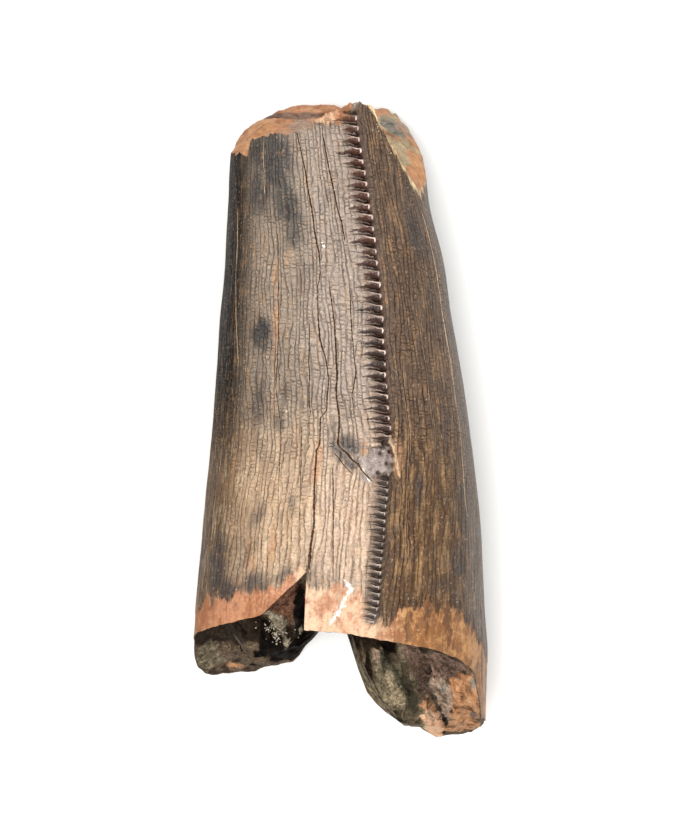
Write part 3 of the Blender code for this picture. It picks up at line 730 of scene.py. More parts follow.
def build_base(skin):
    """The broken rim of the base, then the pulp cavity."""
    outer_y = base_edge(skin.columns)
    inner_y = straight(CAVITY_EDGE, skin.columns)
    angle = column_angle(skin.columns, outer_y)
    outer = place(angle, outer_y, wall_radius(angle, outer_y) - 0.05)
    inner_radius = wall_radius(angle, np.minimum(inner_y, CAVITY_MOUTH_Y)) - WALL_THICKNESS
    inner = place(angle, inner_y, inner_radius * cavity_share(inner_y))
    share = (np.arange(RIM_ROWS) + 1)[:, None, None] / RIM_ROWS
    rim = outer + (inner - outer) * share
    share = share[..., 0] + 0 * rim[..., 0]
    arch = np.sin(np.pi * share)
    column = skin.columns + 0 * share
    overhang = step(-125, -80, column) * step(-14, -40, column)
    facts = stains_of_break(rim)
    rough = ridged(rim, RIM_RIDGE_SIZE, 7.7) * (1 - 0.85 * facts["facet"])
    rim[..., 1] += (ROUGH_HEIGHT * lumps(rim, ROUGH_SIZE) + OVERHANG * overhang) * arch
    fade = np.minimum(1, 5 * share)
    rim[..., 1] += 0.08 * rough * fade
    lumpy = RIM_RELIEF * rough + RIM_RELIEF * lumps(rim, RIM_LUMP_SIZE, 3, 2.9)
    rim[..., 2] += (lumpy - CREVICE_DEPTH * crevice(rim)) * fade
    hollow = np.clip(-1.3 * rough + crevice(rim), 0, 1)
    # The crevice is painted dark as shade.
    facts["dark"] = np.maximum(facts["dark"], crevice(rim))
    skin.add("pulp", rim, along=rim[..., 1], hollow=hollow, **facts)

    share = ((np.arange(CAVITY_ROWS) + 1)[:, None] / CAVITY_ROWS) ** 1.2
    y = inner_y + (CAVITY_END_Y - inner_y) * share
    angle = angle + 0 * y
    mouth = wall_radius(angle, np.minimum(y, CAVITY_MOUTH_Y)) - WALL_THICKNESS
    radius = mouth * cavity_share(y)
    at = place(angle, y, radius)
    rough = ridged(at, WRINKLE_SIZE, 3.1)
    fade = np.minimum(1, radius)
    meet = rim[-1] - at[0]
    wrinkles = WRINKLE_HEIGHT * rough + 0.2 * lumps(at, 0.5, 3, 1.9) + 0.5 * CREVICE_DEPTH * crevice(at)
    at = place(angle, y, radius + wrinkles * fade)
    at += (meet + 0 * at[0]) * np.maximum(0, 1 - 6 * share)[..., None]
    hollow = np.clip(-1.3 * rough + crevice(at), 0, 1)
    facts = stains_of_break(at)
    # Deeper in, the cavity is painted darker and then black as shade.
    facts["dark"] = np.maximum(facts["dark"], step(-14.5, -11.5, y))
    facts["void"] = np.maximum(facts["void"], step(-12.0, -8.0, y))
    skin.add("pulp", at, along=y, hollow=hollow, **facts)


# ---------------------------------------------------------------- the makings of a finish
# The setting that a node's mode stands for, by kind of node. For the other kinds it is the operation.
MODES = {
    "Attribute": "attribute_name", "Mix": "data_type", "MapRange": "interpolation_type",
    "TexWhiteNoise": "noise_dimensions", "UVMap": "uv_map",
}  # fmt: skip


def colour(code):
    """An sRGB hex colour as linear RGBA."""
    parts = [int(code[i : i + 2], 16) / 255 for i in (1, 3, 5)]
    return (*[p / 12.92 if p <= 0.04045 else ((p + 0.055) / 1.055) ** 2.4 for p in parts], 1.0)


def node(tree, kind, inputs, mode=None, **settings):
    """Adds a node. An input is a value, a hex colour, an output, or a node whose first output feeds it."""
    made = tree.nodes.new("ShaderNode" + kind)
    if mode:
        settings[MODES.get(kind, "operation")] = mode
    for name, value in settings.items():
        setattr(made, name, value)
    for name, value in inputs.items():
        if isinstance(value, bpy.types.Node):
            value = next(output for output in value.outputs if output.enabled)
        if isinstance(value, bpy.types.NodeSocket):
            tree.links.new(value, made.inputs[name])
        else:
            made.inputs[name].default_value = colour(value) if isinstance(value, str) else value
    return made


def finish_of(name, base, roughness):
    """A new material, its shader, and the function that adds nodes to it."""
    material = bpy.data.materials.new(name)
    material.use_nodes = True
    shader = material.node_tree.nodes["Principled BSDF"]
    shader.inputs["Base Color"].default_value = colour(base)
    shader.inputs["Roughness"].default_value = roughness
    return material, shader, partial(node, material.node_tree)


# ---------------------------------------------------------------- fossil enamel
# Its functions share one record, here, of what is known at a point of the skin. Most of them return coats of
# colour, each (mask, colour) or (mask, colour, how it blends). Later coats cover earlier ones.
def crazing(add, here):
    """Wavy lines along the crown with broken cross lines between them, and a tone for each scale."""
    fine = add("TexNoise", {"Vector": here.pattern, "Scale": 1 / 0.4, "Detail": 3.0, "Roughness": 0.6})
    slow_at = add("VectorMath", {0: here.pattern, 1: (1 / 1.5, 1 / 4.5, 0)}, "MULTIPLY")
    slow = add("TexNoise", {"Vector": slow_at, "Scale": 1.0, "Detail": 2.0, "Roughness": 0.5})
    strips = add("Math", {0: here.around, 1: 1 / STRIP_WIDTH}, "MULTIPLY")
    for wave, share in ((slow, 4.0), (fine, 0.75)):
        strips = add("Math", {0: wave, 1: share, 2: strips}, "MULTIPLY_ADD")
    off_line = add("Math", {0: strips, 1: 0.5}, "PINGPONG")
    lines = add("MapRange", {0: off_line, 1: 0.0, 2: 0.23, 3: 1.0, 4: 0.0}, "SMOOTHSTEP")
    line_at = add("CombineXYZ", {0: add("Math", {0: strips}, "ROUND"), 1: here.along})
    line_at = add("VectorMath", {0: line_at, 1: (3.7, 0.8, 0)}, "MULTIPLY")
    strength = add("TexNoise", {"Vector": line_at, "Scale": 1.0, "Detail": 2.0})
    strength = add("MapRange", {0: strength, 1: 0.35, 2: 0.62, 3: 0.35, 4: 1.0})
    here.lines = add("Math", {0: lines, 1: strength}, "MULTIPLY")

    strip = add("Math", {0: strips}, "FLOOR")
    dice = add("TexWhiteNoise", {"W": strip}, "1D")
    drift_at = add("CombineXYZ", {0: strip, 1: here.along})
    drift = add("TexNoise", {"Vector": drift_at, "Scale": 1.1, "Detail": 1.0})
    scales = add("Math", {0: here.along, 1: 1 / SCALE_LENGTH}, "MULTIPLY")
    for wave, share in ((dice, 0.5), (drift, 3.5), (fine, -1.4)):
        scales = add("Math", {0: wave, 1: share, 2: scales}, "MULTIPLY_ADD")
    off_cross = add("Math", {0: scales, 1: 0.5}, "PINGPONG")
    crosses = add("MapRange", {0: off_cross, 1: 0.0, 2: 0.27, 3: 0.8, 4: 0.0}, "SMOOTHSTEP")
    cross_at = add("CombineXYZ", {0: strip, 1: add("Math", {0: scales}, "ROUND")})
    luck = add("TexWhiteNoise", {"Vector": cross_at}, "2D")
    luck = add("MapRange", {0: luck, 1: 0.1, 2: 0.8, 3: 0.1, 4: 1.0})
    here.crosses = add("Math", {0: crosses, 1: luck}, "MULTIPLY")
    scale_at = add("CombineXYZ", {0: strip, 1: add("Math", {0: scales}, "FLOOR")})
    here.tone = add("TexWhiteNoise", {"Vector": scale_at}, "2D")


def denticle_marks(add, here):
    """Masks on the keels: wedges of minerals darkened by painted shade, the slits' black lines of painted
    shade, the pale hooks of painted highlight and the dark crest.
    """
    keels = add("Attribute", {}, "keels").outputs["Vector"]
    counted, front, back = add("SeparateXYZ", {0: keels}).outputs
    on_back = add("Math", {0: add("Math", {0: back}, "ABSOLUTE"), 1: 2.5}, "LESS_THAN")
    across = add("Mix", {0: on_back, 2: front, 3: back}, "FLOAT")
    crest = add("MapRange", {0: across, 1: -0.8, 2: -0.35}, "SMOOTHSTEP")
    past = add("MapRange", {0: across, 1: 0.55, 2: 0.15}, "SMOOTHSTEP")
    here.crest = add("Math", {0: crest, 1: past}, "MULTIPLY")
    shrunk = add("MapRange", {0: here.along, 1: -2.0, 2: -4.0, 3: 1.0, 4: 1.7})
    across = add("Math", {0: across, 1: shrunk}, "MULTIPLY")
    wobble = add("TexNoise", {"Vector": here.pattern, "Scale": 1 / 0.35, "Detail": 2.0})
    counted = add("Math", {0: wobble, 1: 0.4, 2: counted}, "MULTIPLY_ADD")
    counted = add("Math", {0: counted, 1: 0.2}, "SUBTRACT")
    phase = add("Math", {0: counted}, "FRACT")
    luck = add("TexWhiteNoise", {"W": add("Math", {0: counted}, "FLOOR")}, "1D")

    # Red-brown mineral and the painted shade of the slot lie under each hook. It is deep at the crest and
    # thins out to its left.
    reach = add("MapRange", {0: luck, 3: -1.5, 4: -0.75})
    depth = add("MapRange", {0: across, 1: reach, 2: 0.0, 3: 0.0, 4: 0.27})
    past = add("MapRange", {0: across, 1: 0.05, 2: 0.2, 3: 1.0, 4: 0.0})
    depth = add("Math", {0: depth, 1: past}, "MULTIPLY")
    middle = add("MapRange", {0: across, 1: -1.2, 2: 0.0, 3: 0.74, 4: 0.46})
    off_wedge, off_slit, off_bar, off_end = (
        add("Math", {0: value, 1: centre}, "SUBTRACT")
        for value, centre in ((phase, middle), (phase, 0.87), (phase, 0.14), (across, 0.05))
    )
    off_wedge, off_slit = (add("Math", {0: off, 1: 0.5, 2: -0.5}, "WRAP") for off in (off_wedge, off_slit))
    off_wedge, off_slit, off_bar, off_end = (
        add("Math", {0: off}, "ABSOLUTE") for off in (off_wedge, off_slit, off_bar, off_end)
    )
    off_wedge = add("Math", {0: off_wedge, 1: depth}, "SUBTRACT")
    here.wedge = add("MapRange", {0: off_wedge, 1: 0.05, 2: -0.06}, "SMOOTHSTEP")

    # The slit to the next denticle: two black lines of painted shade with a painted glint between them.
    glint = add("MapRange", {0: off_slit, 1: 0.06, 2: 0.02})
    off_slit = add("Math", {0: off_slit, 1: 0.12}, "SUBTRACT")
    off_slit = add("Math", {0: off_slit}, "ABSOLUTE")
    slit = add("MapRange", {0: off_slit, 1: 0.085, 2: 0.035})
    inner = add("Math", {0: reach, 1: 0.7}, "ADD")
    slit_limits = ({1: reach, 2: inner}, {1: 0.16, 2: 0.06})
    glint_limits = ({1: -0.55, 2: -0.3, 4: 0.7}, {1: 0.05, 2: -0.05})

    # The hook runs along the denticle's tipward edge, a bar that turns down at the crest. Its pale colour is
    # a painted highlight, fainter on some denticles.
    bar = add("MapRange", {0: off_bar, 1: 0.1, 2: 0.04})
    end = add("MapRange", {0: off_end, 1: 0.065, 2: 0.025})
    bar_limits = ({1: -0.6, 2: -0.15, 3: 0.05, 4: 1.0}, {1: 0.13, 2: 0.07})
    end_limits = ({1: 0.6, 2: 0.45}, {1: 0.06, 2: 0.14})
    ended = []
    for mark, value, limits in (
        (slit, across, slit_limits), (glint, across, glint_limits), (bar, across, bar_limits),
        (end, phase, end_limits),
    ):  # fmt: skip
        for limit in limits:
            share = add("MapRange", {0: value, **limit})
            mark = add("Math", {0: mark, 1: share}, "MULTIPLY")
        ended.append(mark)
    here.slit, glint, bar, end = ended
    seen = add("MapRange", {0: luck, 1: 0.2, 2: 0.7})
    # How strongly each denticle's painted highlight shows.
    wear_and_highlight = add("MapRange", {0: luck, 3: 1.0, 4: 0.55})
    glint = add("Math", {0: glint, 1: seen}, "MULTIPLY")
    hook = add("Math", {0: bar, 1: end}, "MAXIMUM")
    hook = add("Math", {0: hook, 1: wear_and_highlight}, "MULTIPLY")
    here.hook = add("Math", {0: hook, 1: glint}, "MAXIMUM")


def enamel_values(add):
    """What the enamel's colours follow: places on the skin, its facts, noise, and masks made of them."""
    here = SimpleNamespace()
    here.pattern = add("UVMap", {}, "skin").outputs["UV"]
    here.around, here.along, _ = add("SeparateXYZ", {0: here.pattern}).outputs
    for name in ENAMEL_FACTS:
        setattr(here, name, add("Attribute", {}, name).outputs["Fac"])
    for name, (width, length, detail, roughness) in ENAMEL_GRAIN.items():
        at = add("VectorMath", {0: here.pattern, 1: (1 / width, 1 / length, 0)}, "MULTIPLY")
        grain = add("TexNoise", {"Vector": at, "Scale": 1.0, "Detail": detail, "Roughness": roughness})
        setattr(here, name, grain)
    at = here.pattern
    here.grit = add("TexNoise", {"Vector": at, "Scale": 1 / 0.2, "Detail": 3.0, "Roughness": 0.65})
    here.patchy = add("TexNoise", {"Vector": at, "Scale": 0.55, "Detail": 3.0})
    here.clouds = add("TexNoise", {"Vector": at, "Scale": 0.3, "Detail": 5.0, "Distortion": 0.6})
    here.low = add("MapRange", {0: here.along, 1: 3.0, 2: -5.0}, "SMOOTHSTEP")
    here.past_keel = add("MapRange", {0: here.around, 1: -0.1, 2: 0.3}, "SMOOTHSTEP")
    crazing(add, here)
    denticle_marks(add, here)
    return here


def enamel_ground(add, here):
    """Grey-tan near the tip, honey near the base, a paler band before the keel that is partly painted sheen,
    brown past the keel that is partly painted shade, and down the sides painted shade on the left and a
    painted reflection on the right.
    """
    gold = add("MapRange", {0: here.streaks, 1: 0.48, 2: 0.66, 4: 0.6})
    more = add("MapRange", {0: here.low, 3: 0.45, 4: 1.0})
    gold = add("Math", {0: gold, 1: more}, "MULTIPLY")
    tan, band, brown, golden, left_stain_and_shade = (
        add("Mix", {0: here.low, 6: high, 7: low}, "RGBA")
        for high, low in (
            ("#9f8d7b", "#c4a484"), ("#ab998a", "#cfb095"), ("#655040", "#5e442d"), ("#957857", "#ac8859"),
            ("#191512", "#6b533d"),
        )
    )  # fmt: skip
    brown = add("Mix", {0: gold, 6: brown, 7: golden}, "RGBA")
    into_sheen_band, right_side, left_side = (
        add("MapRange", {0: here.around, 1: start, 2: full}, "SMOOTHSTEP")
        for start, full in ((-5.2, -3.6), (5.9, 7.2), (-7.8, -11.4))
    )
    ground = tan
    # The band is paler partly as painted sheen. The brown past the keel is partly painted shade where the
    # wall turns from the lamp. The grey right side is a painted reflection, and the left side is stain and
    # painted shade.
    for mask, coat in (
        (into_sheen_band, band), (here.past_keel, brown), (right_side, "#75675b"), (left_side, left_stain_and_shade),
    ):  # fmt: skip
        ground = add("Mix", {0: mask, 6: ground, 7: coat}, "RGBA")
    return ground


def stained(add, here):
    """Mineral stains: bands low on the crown, rust, warm streaks, dull clouds and blue-black places."""
    before_keel = add("MapRange", {0: here.past_keel, 3: 1.0, 4: 0.0})
    bands = []
    for edge, full, shade in ((0.5, 0.66, "#e2c8a6"), (0.48, 0.34, "#85715f")):
        band = add("MapRange", {0: here.bands, 1: edge, 2: full, 4: 0.55})
        band = add("Math", {0: band, 1: here.low}, "MULTIPLY")
        bands.append((add("Math", {0: band, 1: before_keel}, "MULTIPLY"), shade))
    rusty = add("Math", {0: here.rust, 1: here.streaks}, "MULTIPLY")
    rusty = add("MapRange", {0: rusty, 1: 0.25, 2: 0.6, 4: 0.75}, "SMOOTHSTEP")
    warm = add("MapRange", {0: here.streaks, 1: 0.52, 2: 0.68, 4: 0.35})
    cloudy = add("MapRange", {0: here.clouds, 1: 0.54, 2: 0.7, 4: 0.5})
    spread = here.stain
    for value, share in ((here.clouds, 0.9), (here.streaks, 0.9), (here.grit, 0.6)):
        spread = add("Math", {0: value, 1: share, 2: spread}, "MULTIPLY_ADD")
    black = add("MapRange", {0: spread, 1: 1.52, 2: 2.25, 4: 0.88}, "SMOOTHSTEP")
    blue_black = add("Mix", {0: here.low, 6: "#343637", 7: "#474140"}, "RGBA")
    return *bands, (rusty, "#c48f66"), (warm, "#bf9268"), (cloudy, "#5b4f46"), (black, blue_black)


def bare_dentine(add, here):
    """Dentine past the enamel's ragged ends: copper, cream and pink, then gold, and straw at the tip, with a
    painted shadow along the enamel's end.
    """
    ragged = add("Math", {0: here.drips, 1: 3.0, 2: here.bare}, "MULTIPLY_ADD")
    here.bared = add("MapRange", {0: ragged, 1: 1.35, 2: 1.75}, "SMOOTHSTEP")
    blotch = add("Math", {0: here.clouds, 1: here.mottle}, "ADD")
    blotch = add("MapRange", {0: blotch, 1: 0.88, 2: 1.12}, "SMOOTHSTEP")
    copper, cream, gold, straw = (
        add("Mix", {0: blotch, 6: deep, 7: pale}, "RGBA") for deep, pale in DENTINE_COLOURS
    )
    to_cream = add("MapRange", {0: here.around, 1: -5.2, 2: -4.8})
    to_gold = add("MapRange", {0: here.around, 1: 0.2, 2: 2.2})
    to_gold = add("Math", {0: to_gold, 1: here.low}, "MULTIPLY")
    to_straw = add("MapRange", {0: here.around, 1: 1.0, 2: 2.2})
    high_up = add("MapRange", {0: here.along, 1: 9.0, 2: 11.0})
    to_straw = add("Math", {0: to_straw, 1: high_up}, "MULTIPLY")
    dentine = copper
    for mask, coat in ((to_cream, cream), (to_gold, gold), (to_straw, straw)):
        dentine = add("Mix", {0: mask, 6: dentine, 7: coat}, "RGBA")
    past = add("MapRange", {0: to_gold, 3: 0.3, 4: 1.0})
    # A painted shadow along the enamel's ragged end, strongest past the keel.
    painted_edge_shadow = add("MapRange", {0: ragged, 1: 0.7, 2: 1.5, 4: 0.7})
    painted_edge_shadow = add("Math", {0: painted_edge_shadow, 1: past}, "MULTIPLY")
    dripping = add("MapRange", {0: here.drips, 1: 0.54, 2: 0.6, 4: 0.75})
    for mask in (past, here.bared):
        dripping = add("Math", {0: dripping, 1: mask}, "MULTIPLY")
    return (painted_edge_shadow, "#4a3122"), (here.bared, dentine), (dripping, "#5d3c26")


def toned(add, here):
    """Mottling, then the tones of fibres, grit and each scale, weaker on bare dentine, and pale flecks that
    are painted glints.
    """
    ruddy = add("MapRange", {0: here.mottle, 1: 0.54, 2: 0.72, 4: 0.42})
    grey = add("MapRange", {0: here.mottle, 1: 0.46, 2: 0.3, 4: 0.42})
    uneven = -0.16
    for value, share in ((here.fibres, 0.3), (here.grit, 1.2), (here.patchy, 0.4), (here.tone, 0.12)):
        uneven = add("Math", {0: value, 1: share, 2: uneven}, "MULTIPLY_ADD")
    even = add("MapRange", {0: here.bared, 3: 0.0, 4: 0.6})
    uneven = add("Mix", {0: even, 2: uneven, 3: 1.0}, "FLOAT")
    uneven = add("CombineXYZ", {0: uneven, 1: uneven, 2: uneven})
    # Pale flecks on the grit are painted glints.
    painted_glints = add("MapRange", {0: here.grit, 1: 0.62, 2: 0.7, 4: 0.45})
    return (ruddy, "#c79a6e"), (grey, "#655c57"), (1.0, uneven, "MULTIPLY"), (painted_glints, "#d9c4ad")


def crazed(add, here):
    """Dirt in the crazing: darker past the keel, fainter low on the crown and where the enamel is gone."""
    crossed = add("MapRange", {0: here.patchy, 1: 0.4, 2: 0.6, 3: 0.3, 4: 1.0})
    fewer = add("MapRange", {0: here.along, 1: -1.0, 2: -7.0, 3: 1.0, 4: 0.3})
    crosses = here.crosses
    for share in (crossed, fewer):
        crosses = add("Math", {0: crosses, 1: share}, "MULTIPLY")
    here.net = add("Math", {0: here.lines, 1: crosses}, "MAXIMUM")
    for mask, start, full, left in (
        (here.keel, 0.1, 0.55, 0.15), (here.chip, 0.2, 0.7, 0.1), (here.bared, 0.0, 1.0, 0.2),
    ):  # fmt: skip
        share = add("MapRange", {0: mask, 1: start, 2: full, 3: 1.0, 4: left})
        here.net = add("Math", {0: here.net, 1: share}, "MULTIPLY")
    darker = add("MapRange", {0: here.around, 1: -0.5, 2: 0.5, 3: 0.52, 4: 0.95})
    fainter = add("MapRange", {0: here.low, 3: 1.0, 4: 0.54})
    faded = add("MapRange", {0: here.mottle, 1: 0.35, 2: 0.6, 3: 0.55, 4: 1.0})
    dirt = here.net
    for share in (darker, fainter, faded):
        dirt = add("Math", {0: dirt, 1: share}, "MULTIPLY")
    return ((dirt, "#37281e"),)


def keel_colours(add, here):
    """The keels' dark translucent crest, red-brown wedges with painted shade, black slits of painted shade
    and pale hooks of painted highlight, then the scar and painted shade in slots and pits.
    """
    unchipped = add("MapRange", {0: here.chip, 1: 0.3, 2: 0.6, 3: 1.0, 4: 0.0})
    on_keel = add("MapRange", {0: here.keel, 1: 0.0, 2: 0.1})
    off_tip = add("MapRange", {0: here.along, 1: 17.6, 2: 18.0, 3: 1.0, 4: 0.25})
    foot = add("MapRange", {0: here.along, 1: -2.0, 2: -4.0})
    strong = add("MapRange", {0: foot, 3: 1.0, 4: 0.85})
    for share in (unchipped, on_keel, off_tip):
        strong = add("Math", {0: strong, 1: share}, "MULTIPLY")
    redder = add("MapRange", {0: here.along, 1: 6.0, 2: 11.0})
    # The wedges' colour is red-brown mineral darkened as painted shade of the slots.
    mineral_and_shade = add("Mix", {0: redder, 6: "#31231e", 7: "#45261a"}, "RGBA")
    coats = []
    for mask, most, high, at_foot in (
        (here.crest, 0.8, "#664c40", "#4c423c"), (here.wedge, 0.92, mineral_and_shade, "#2b2523"),
        (here.slit, 0.95, "#1a0d08", "#1f1a18"), (here.hook, 1.0, "#f2d6c6", "#cfc4bc"),
    ):  # fmt: skip
        share = add("Math", {0: mask, 1: strong}, "MULTIPLY")
        share = add("Math", {0: share, 1: most}, "MULTIPLY")
        coats.append((share, add("Mix", {0: foot, 6: high, 7: at_foot}, "RGBA")))
    smear = add("MapRange", {0: here.mottle, 1: 0.35, 2: 0.65})
    scar = add("Mix", {0: smear, 6: "#66574f", 7: "#9f928c"}, "RGBA")
    flaked = add("MapRange", {0: here.chip, 1: 0.35, 2: 0.65, 4: 0.9})
    # Slots, pits and the gaps between the chunks at the tip are painted near black as shade.
    slot_shade = add("MapRange", {0: here.slot, 1: 0.3, 2: 0.7, 4: 0.8})
    return *coats, (flaked, scar), (slot_shade, "#1e110c")


def line_colours(add, here):
    """Pale lines of wear and painted highlight, the streak of white film, and the cracks: dark inside, with
    a pale lip that is a painted highlight.
    """
    near = []
    for name in ("cracks", "more_cracks", "last_cracks", "pale_lines"):
        away = add("Attribute", {}, name).outputs["Vector"]
        near.append(add("VectorMath", {0: away}, "ABSOLUTE"))
    nearest = near[0]
    for away in near[1:3]:
        nearest = add("VectorMath", {0: nearest, 1: away}, "MINIMUM")
    first, second, third = add("SeparateXYZ", {0: nearest}).outputs
    nearest = add("Math", {0: add("Math", {0: first, 1: second}, "MINIMUM"), 1: third}, "MINIMUM")
    first, second, film = add("SeparateXYZ", {0: near[3]}).outputs
    wear_and_highlight = add("Math", {0: first, 1: second}, "MINIMUM")
    nearest, wear_and_highlight, film = (
        add("Math", {0: here.grit, 1: ragged, 2: away}, "MULTIPLY_ADD")
        for away, ragged in ((nearest, 3.0), (wear_and_highlight, 2.4), (film, 5.0))
    )
    here.cracked = add("MapRange", {0: nearest, 1: 2.1, 2: 2.8, 3: 1.0, 4: 0.0})
    # Pale lines: wear, with a painted reflection down the left side and a painted highlight beside the keel.
    wear_and_highlight = add("MapRange", {0: wear_and_highlight, 1: 1.4, 2: 2.2, 3: 0.85, 4: 0.0})
    film = add("MapRange", {0: film, 1: 2.9, 2: 3.4, 3: 1.0, 4: 0.0})
    # The pale lip beside a crack is a painted highlight.
    lip = add("MapRange", {0: nearest, 1: 3.2, 2: 4.8, 3: 0.35, 4: 0.0})
    depth = add("Math", {0: here.cracked, 1: 0.94}, "MULTIPLY")
    inside = add("Mix", {0: here.low, 6: "#1d1510", 7: "#3a2217"}, "RGBA")
    return (wear_and_highlight, "#d6b48f"), (film, "#fff6ea"), (lip, "#c2a385"), (depth, inside)


def enamel():
    """Fossil enamel: hard and half glossy, stained by minerals, crazed into rows of tiny oblong scales."""
    material, shader, add = finish_of("fossil enamel", "#8a7663", 0.42)
    shader.inputs["IOR"].default_value = 1.6
    link = material.node_tree.links.new
    here = enamel_values(add)
    ground = enamel_ground(add, here)
    for layer in (stained, bare_dentine, toned, crazed, keel_colours, line_colours):
        for mask, coat, *how in layer(add, here):
            blend = how[0] if how else "MIX"
            ground = add("Mix", {0: mask, 6: ground, 7: coat}, "RGBA", blend_type=blend)
    link(ground.outputs[2], shader.inputs["Base Color"])

    # It is polished on the keels and the scar, duller in the crazing, on the sides and past the keel.
    rough = add("MapRange", {0: here.net, 3: 0.38, 4: 0.6})
    polished = add("Math", {0: here.keel, 1: here.chip}, "MAXIMUM")
    for value, share in ((here.grit, 0.2), (polished, -0.24)):
        rough = add("Math", {0: value, 1: share, 2: rough}, "MULTIPLY_ADD")
    link(rough.outputs[0], shader.inputs["Roughness"])
    shiny = add("MapRange", {0: here.around, 1: -9.5, 2: -4.5, 3: 0.02, 4: 0.5})
    dull = add("MapRange", {0: here.around, 1: 0.2, 2: 1.5, 3: 1.0, 4: 0.35})
    shiny = add("Math", {0: shiny, 1: dull}, "MULTIPLY")
    for hole, left in ((here.cracked, 0.05), (here.net, 0.4), (here.wedge, 0.6), (here.slot, 0.15)):
        share = add("MapRange", {0: hole, 3: 1.0, 4: left})
        shiny = add("Math", {0: shiny, 1: share}, "MULTIPLY")
    link(shiny.outputs[0], shader.inputs["Specular IOR Level"])

    sunk = add("Math", {0: here.net, 1: here.cracked}, "MAXIMUM")
    heights = here.grit
    for value, share in ((sunk, -1.0), (here.tone, 0.3)):
        heights = add("Math", {0: value, 1: share, 2: heights}, "MULTIPLY_ADD")
    bump = add("Bump", {"Height": heights, "Distance": 0.1 * MM, "Strength": 1.0})
    link(bump.outputs[0], shader.inputs["Normal"])
    return material


# ---------------------------------------------------------------- broken dentine
def fracture(name, deep, pale, grain_size, wrinkled):
    """A broken surface: porous and matt, blotched by minerals, with painted shade in its hollows and
    wrinkles and its ridges painted paler.
    """
    material, shader, add = finish_of(name, deep, 0.6)
    shader.inputs["Specular IOR Level"].default_value = 0.03
    link = material.node_tree.links.new
    at = add("TexCoord", {}).outputs["Object"]
    clouds = add("TexNoise", {"Vector": at, "Scale": 1 / (1.5 * MM), "Detail": 5.0, "Distortion": 0.5})
    grain = add("TexNoise", {"Vector": at, "Scale": 1 / (grain_size * MM), "Detail": 4.0, "Roughness": 0.7})
    tone = add("Math", {0: clouds, 1: grain}, "ADD")
    tone = add("MapRange", {0: tone, 1: 0.78, 2: 1.24})

    # A wrinkle runs where a noise crosses its middle; beside it the surface swells into a ridge. The ridge
    # is painted paler as a highlight and the crease darker as shade.
    folds = []
    for size in FOLD_SIZES:
        fold = add("TexNoise", {"Vector": at, "Scale": 1 / (size * MM), "Detail": 3.0, "Distortion": 0.9})
        fold = add("Math", {0: fold, 1: 0.5}, "SUBTRACT")
        folds.append(add("Math", {0: fold}, "ABSOLUTE"))
    fold = add("Math", {0: folds[0], 1: folds[1]}, "MINIMUM")
    ridge = add("MapRange", {0: fold, 1: 0.03, 2: 0.09, 3: 0.0, 4: wrinkled})
    crease = add("MapRange", {0: fold, 1: 0.0, 2: 0.024, 3: wrinkled, 4: 0.0})
    tone = add("Math", {0: ridge, 1: 0.35, 2: tone}, "MULTIPLY_ADD")
    ground = add("Mix", {0: tone, 6: deep, 7: pale}, "RGBA")
    for stain, (dark, light) in BREAK_COLOURS.items():
        fact = add("Attribute", {}, stain).outputs["Fac"]
        spread = add("Math", {0: grain, 1: 0.8, 2: fact}, "MULTIPLY_ADD")
        share = add("MapRange", {0: spread, 1: 0.72, 2: 1.0}, "SMOOTHSTEP")
        shade = add("Mix", {0: tone, 6: dark, 7: light}, "RGBA")
        ground = add("Mix", {0: share, 6: ground, 7: shade}, "RGBA")
        if stain in LESS_CREASED:
            even = add("MapRange", {0: share, 3: 1.0, 4: LESS_CREASED[stain]})
            crease = add("Math", {0: crease, 1: even}, "MULTIPLY")
    hollow = add("Attribute", {}, "hollow").outputs["Fac"]
    # Hollows are painted dark as shade, more so on the more wrinkled surface.
    painted_hollow_shade = add("MapRange", {0: hollow, 1: 0.15, 2: 0.8, 4: 0.25 + 0.45 * wrinkled})
    dull = add("MapRange", {0: clouds, 1: 0.56, 2: 0.7, 4: 0.35})
    for mask, coat in ((painted_hollow_shade, "#1f150e"), (dull, "#54463a"), (crease, "#1a120c")):
        ground = add("Mix", {0: mask, 6: ground, 7: coat}, "RGBA")
    link(ground.outputs[2], shader.inputs["Base Color"])
    heights = add("Math", {0: ridge, 1: 0.8, 2: grain}, "MULTIPLY_ADD")
    bump = add("Bump", {"Height": heights, "Distance": 0.12 * MM, "Strength": 0.9})
    link(bump.outputs[0], shader.inputs["Normal"])
    return material


# ---------------------------------------------------------------- the pieces
def tell_materials(mesh, skin, row, column):
    """Puts the skin's UV map and facts on its mesh."""
    corner = np.empty(len(mesh.loops), int)
    mesh.loops.foreach_get("vertex_index", corner)
    around = around_keel(skin.columns)
    pattern = np.stack([around[column[corner]], skin.fact("along")[row[corner], column[corner]]], -1)
    mesh.uv_layers.active.name = "skin"
    mesh.uv_layers.active.uv.foreach_set("vector", pattern.astype(np.float32).ravel())
    for name in ("slot", "keel", "chip", "bare", "stain", "hollow", *BREAK_STAINS):
        values = skin.fact(name)[row, column].astype(np.float32)
        mesh.attributes.new(name, "FLOAT", "POINT").data.foreach_set("value", values)
    for name, kind, first in TRIPLES:
        three = [skin.fact(f"{kind}_{first + i}")[row, column] for i in range(3)]
        values = np.stack(three, -1).astype(np.float32).ravel()
        mesh.attributes.new(name, "FLOAT_VECTOR", "POINT").data.foreach_set("vector", values)


def give_finishes(mesh, skin, row):
    """Enamel on the wall, broken dentine at the tip, and weathered dentine at the base."""
    finishes = {"enamel": 0, "dentine": 1, "pulp": 2}
    section = np.array([finishes[name] for name in skin.sections])
    dentine = fracture("broken dentine", "#9a6a4b", "#cf9c78", 0.45, 0.15)
    pulp = fracture("weathered dentine", "#42342a", "#806c57", 0.3, 0.7)
    for material in (enamel(), dentine, pulp):
        mesh.materials.append(material)
    first = np.array([min(row[i] for i in face.vertices) for face in mesh.polygons])
    after = np.minimum(first + 1, len(section) - 1)
    kind = np.where(section[first] == 0, section[after], section[first])
    mesh.polygons.foreach_set("material_index", kind.astype(np.int32))


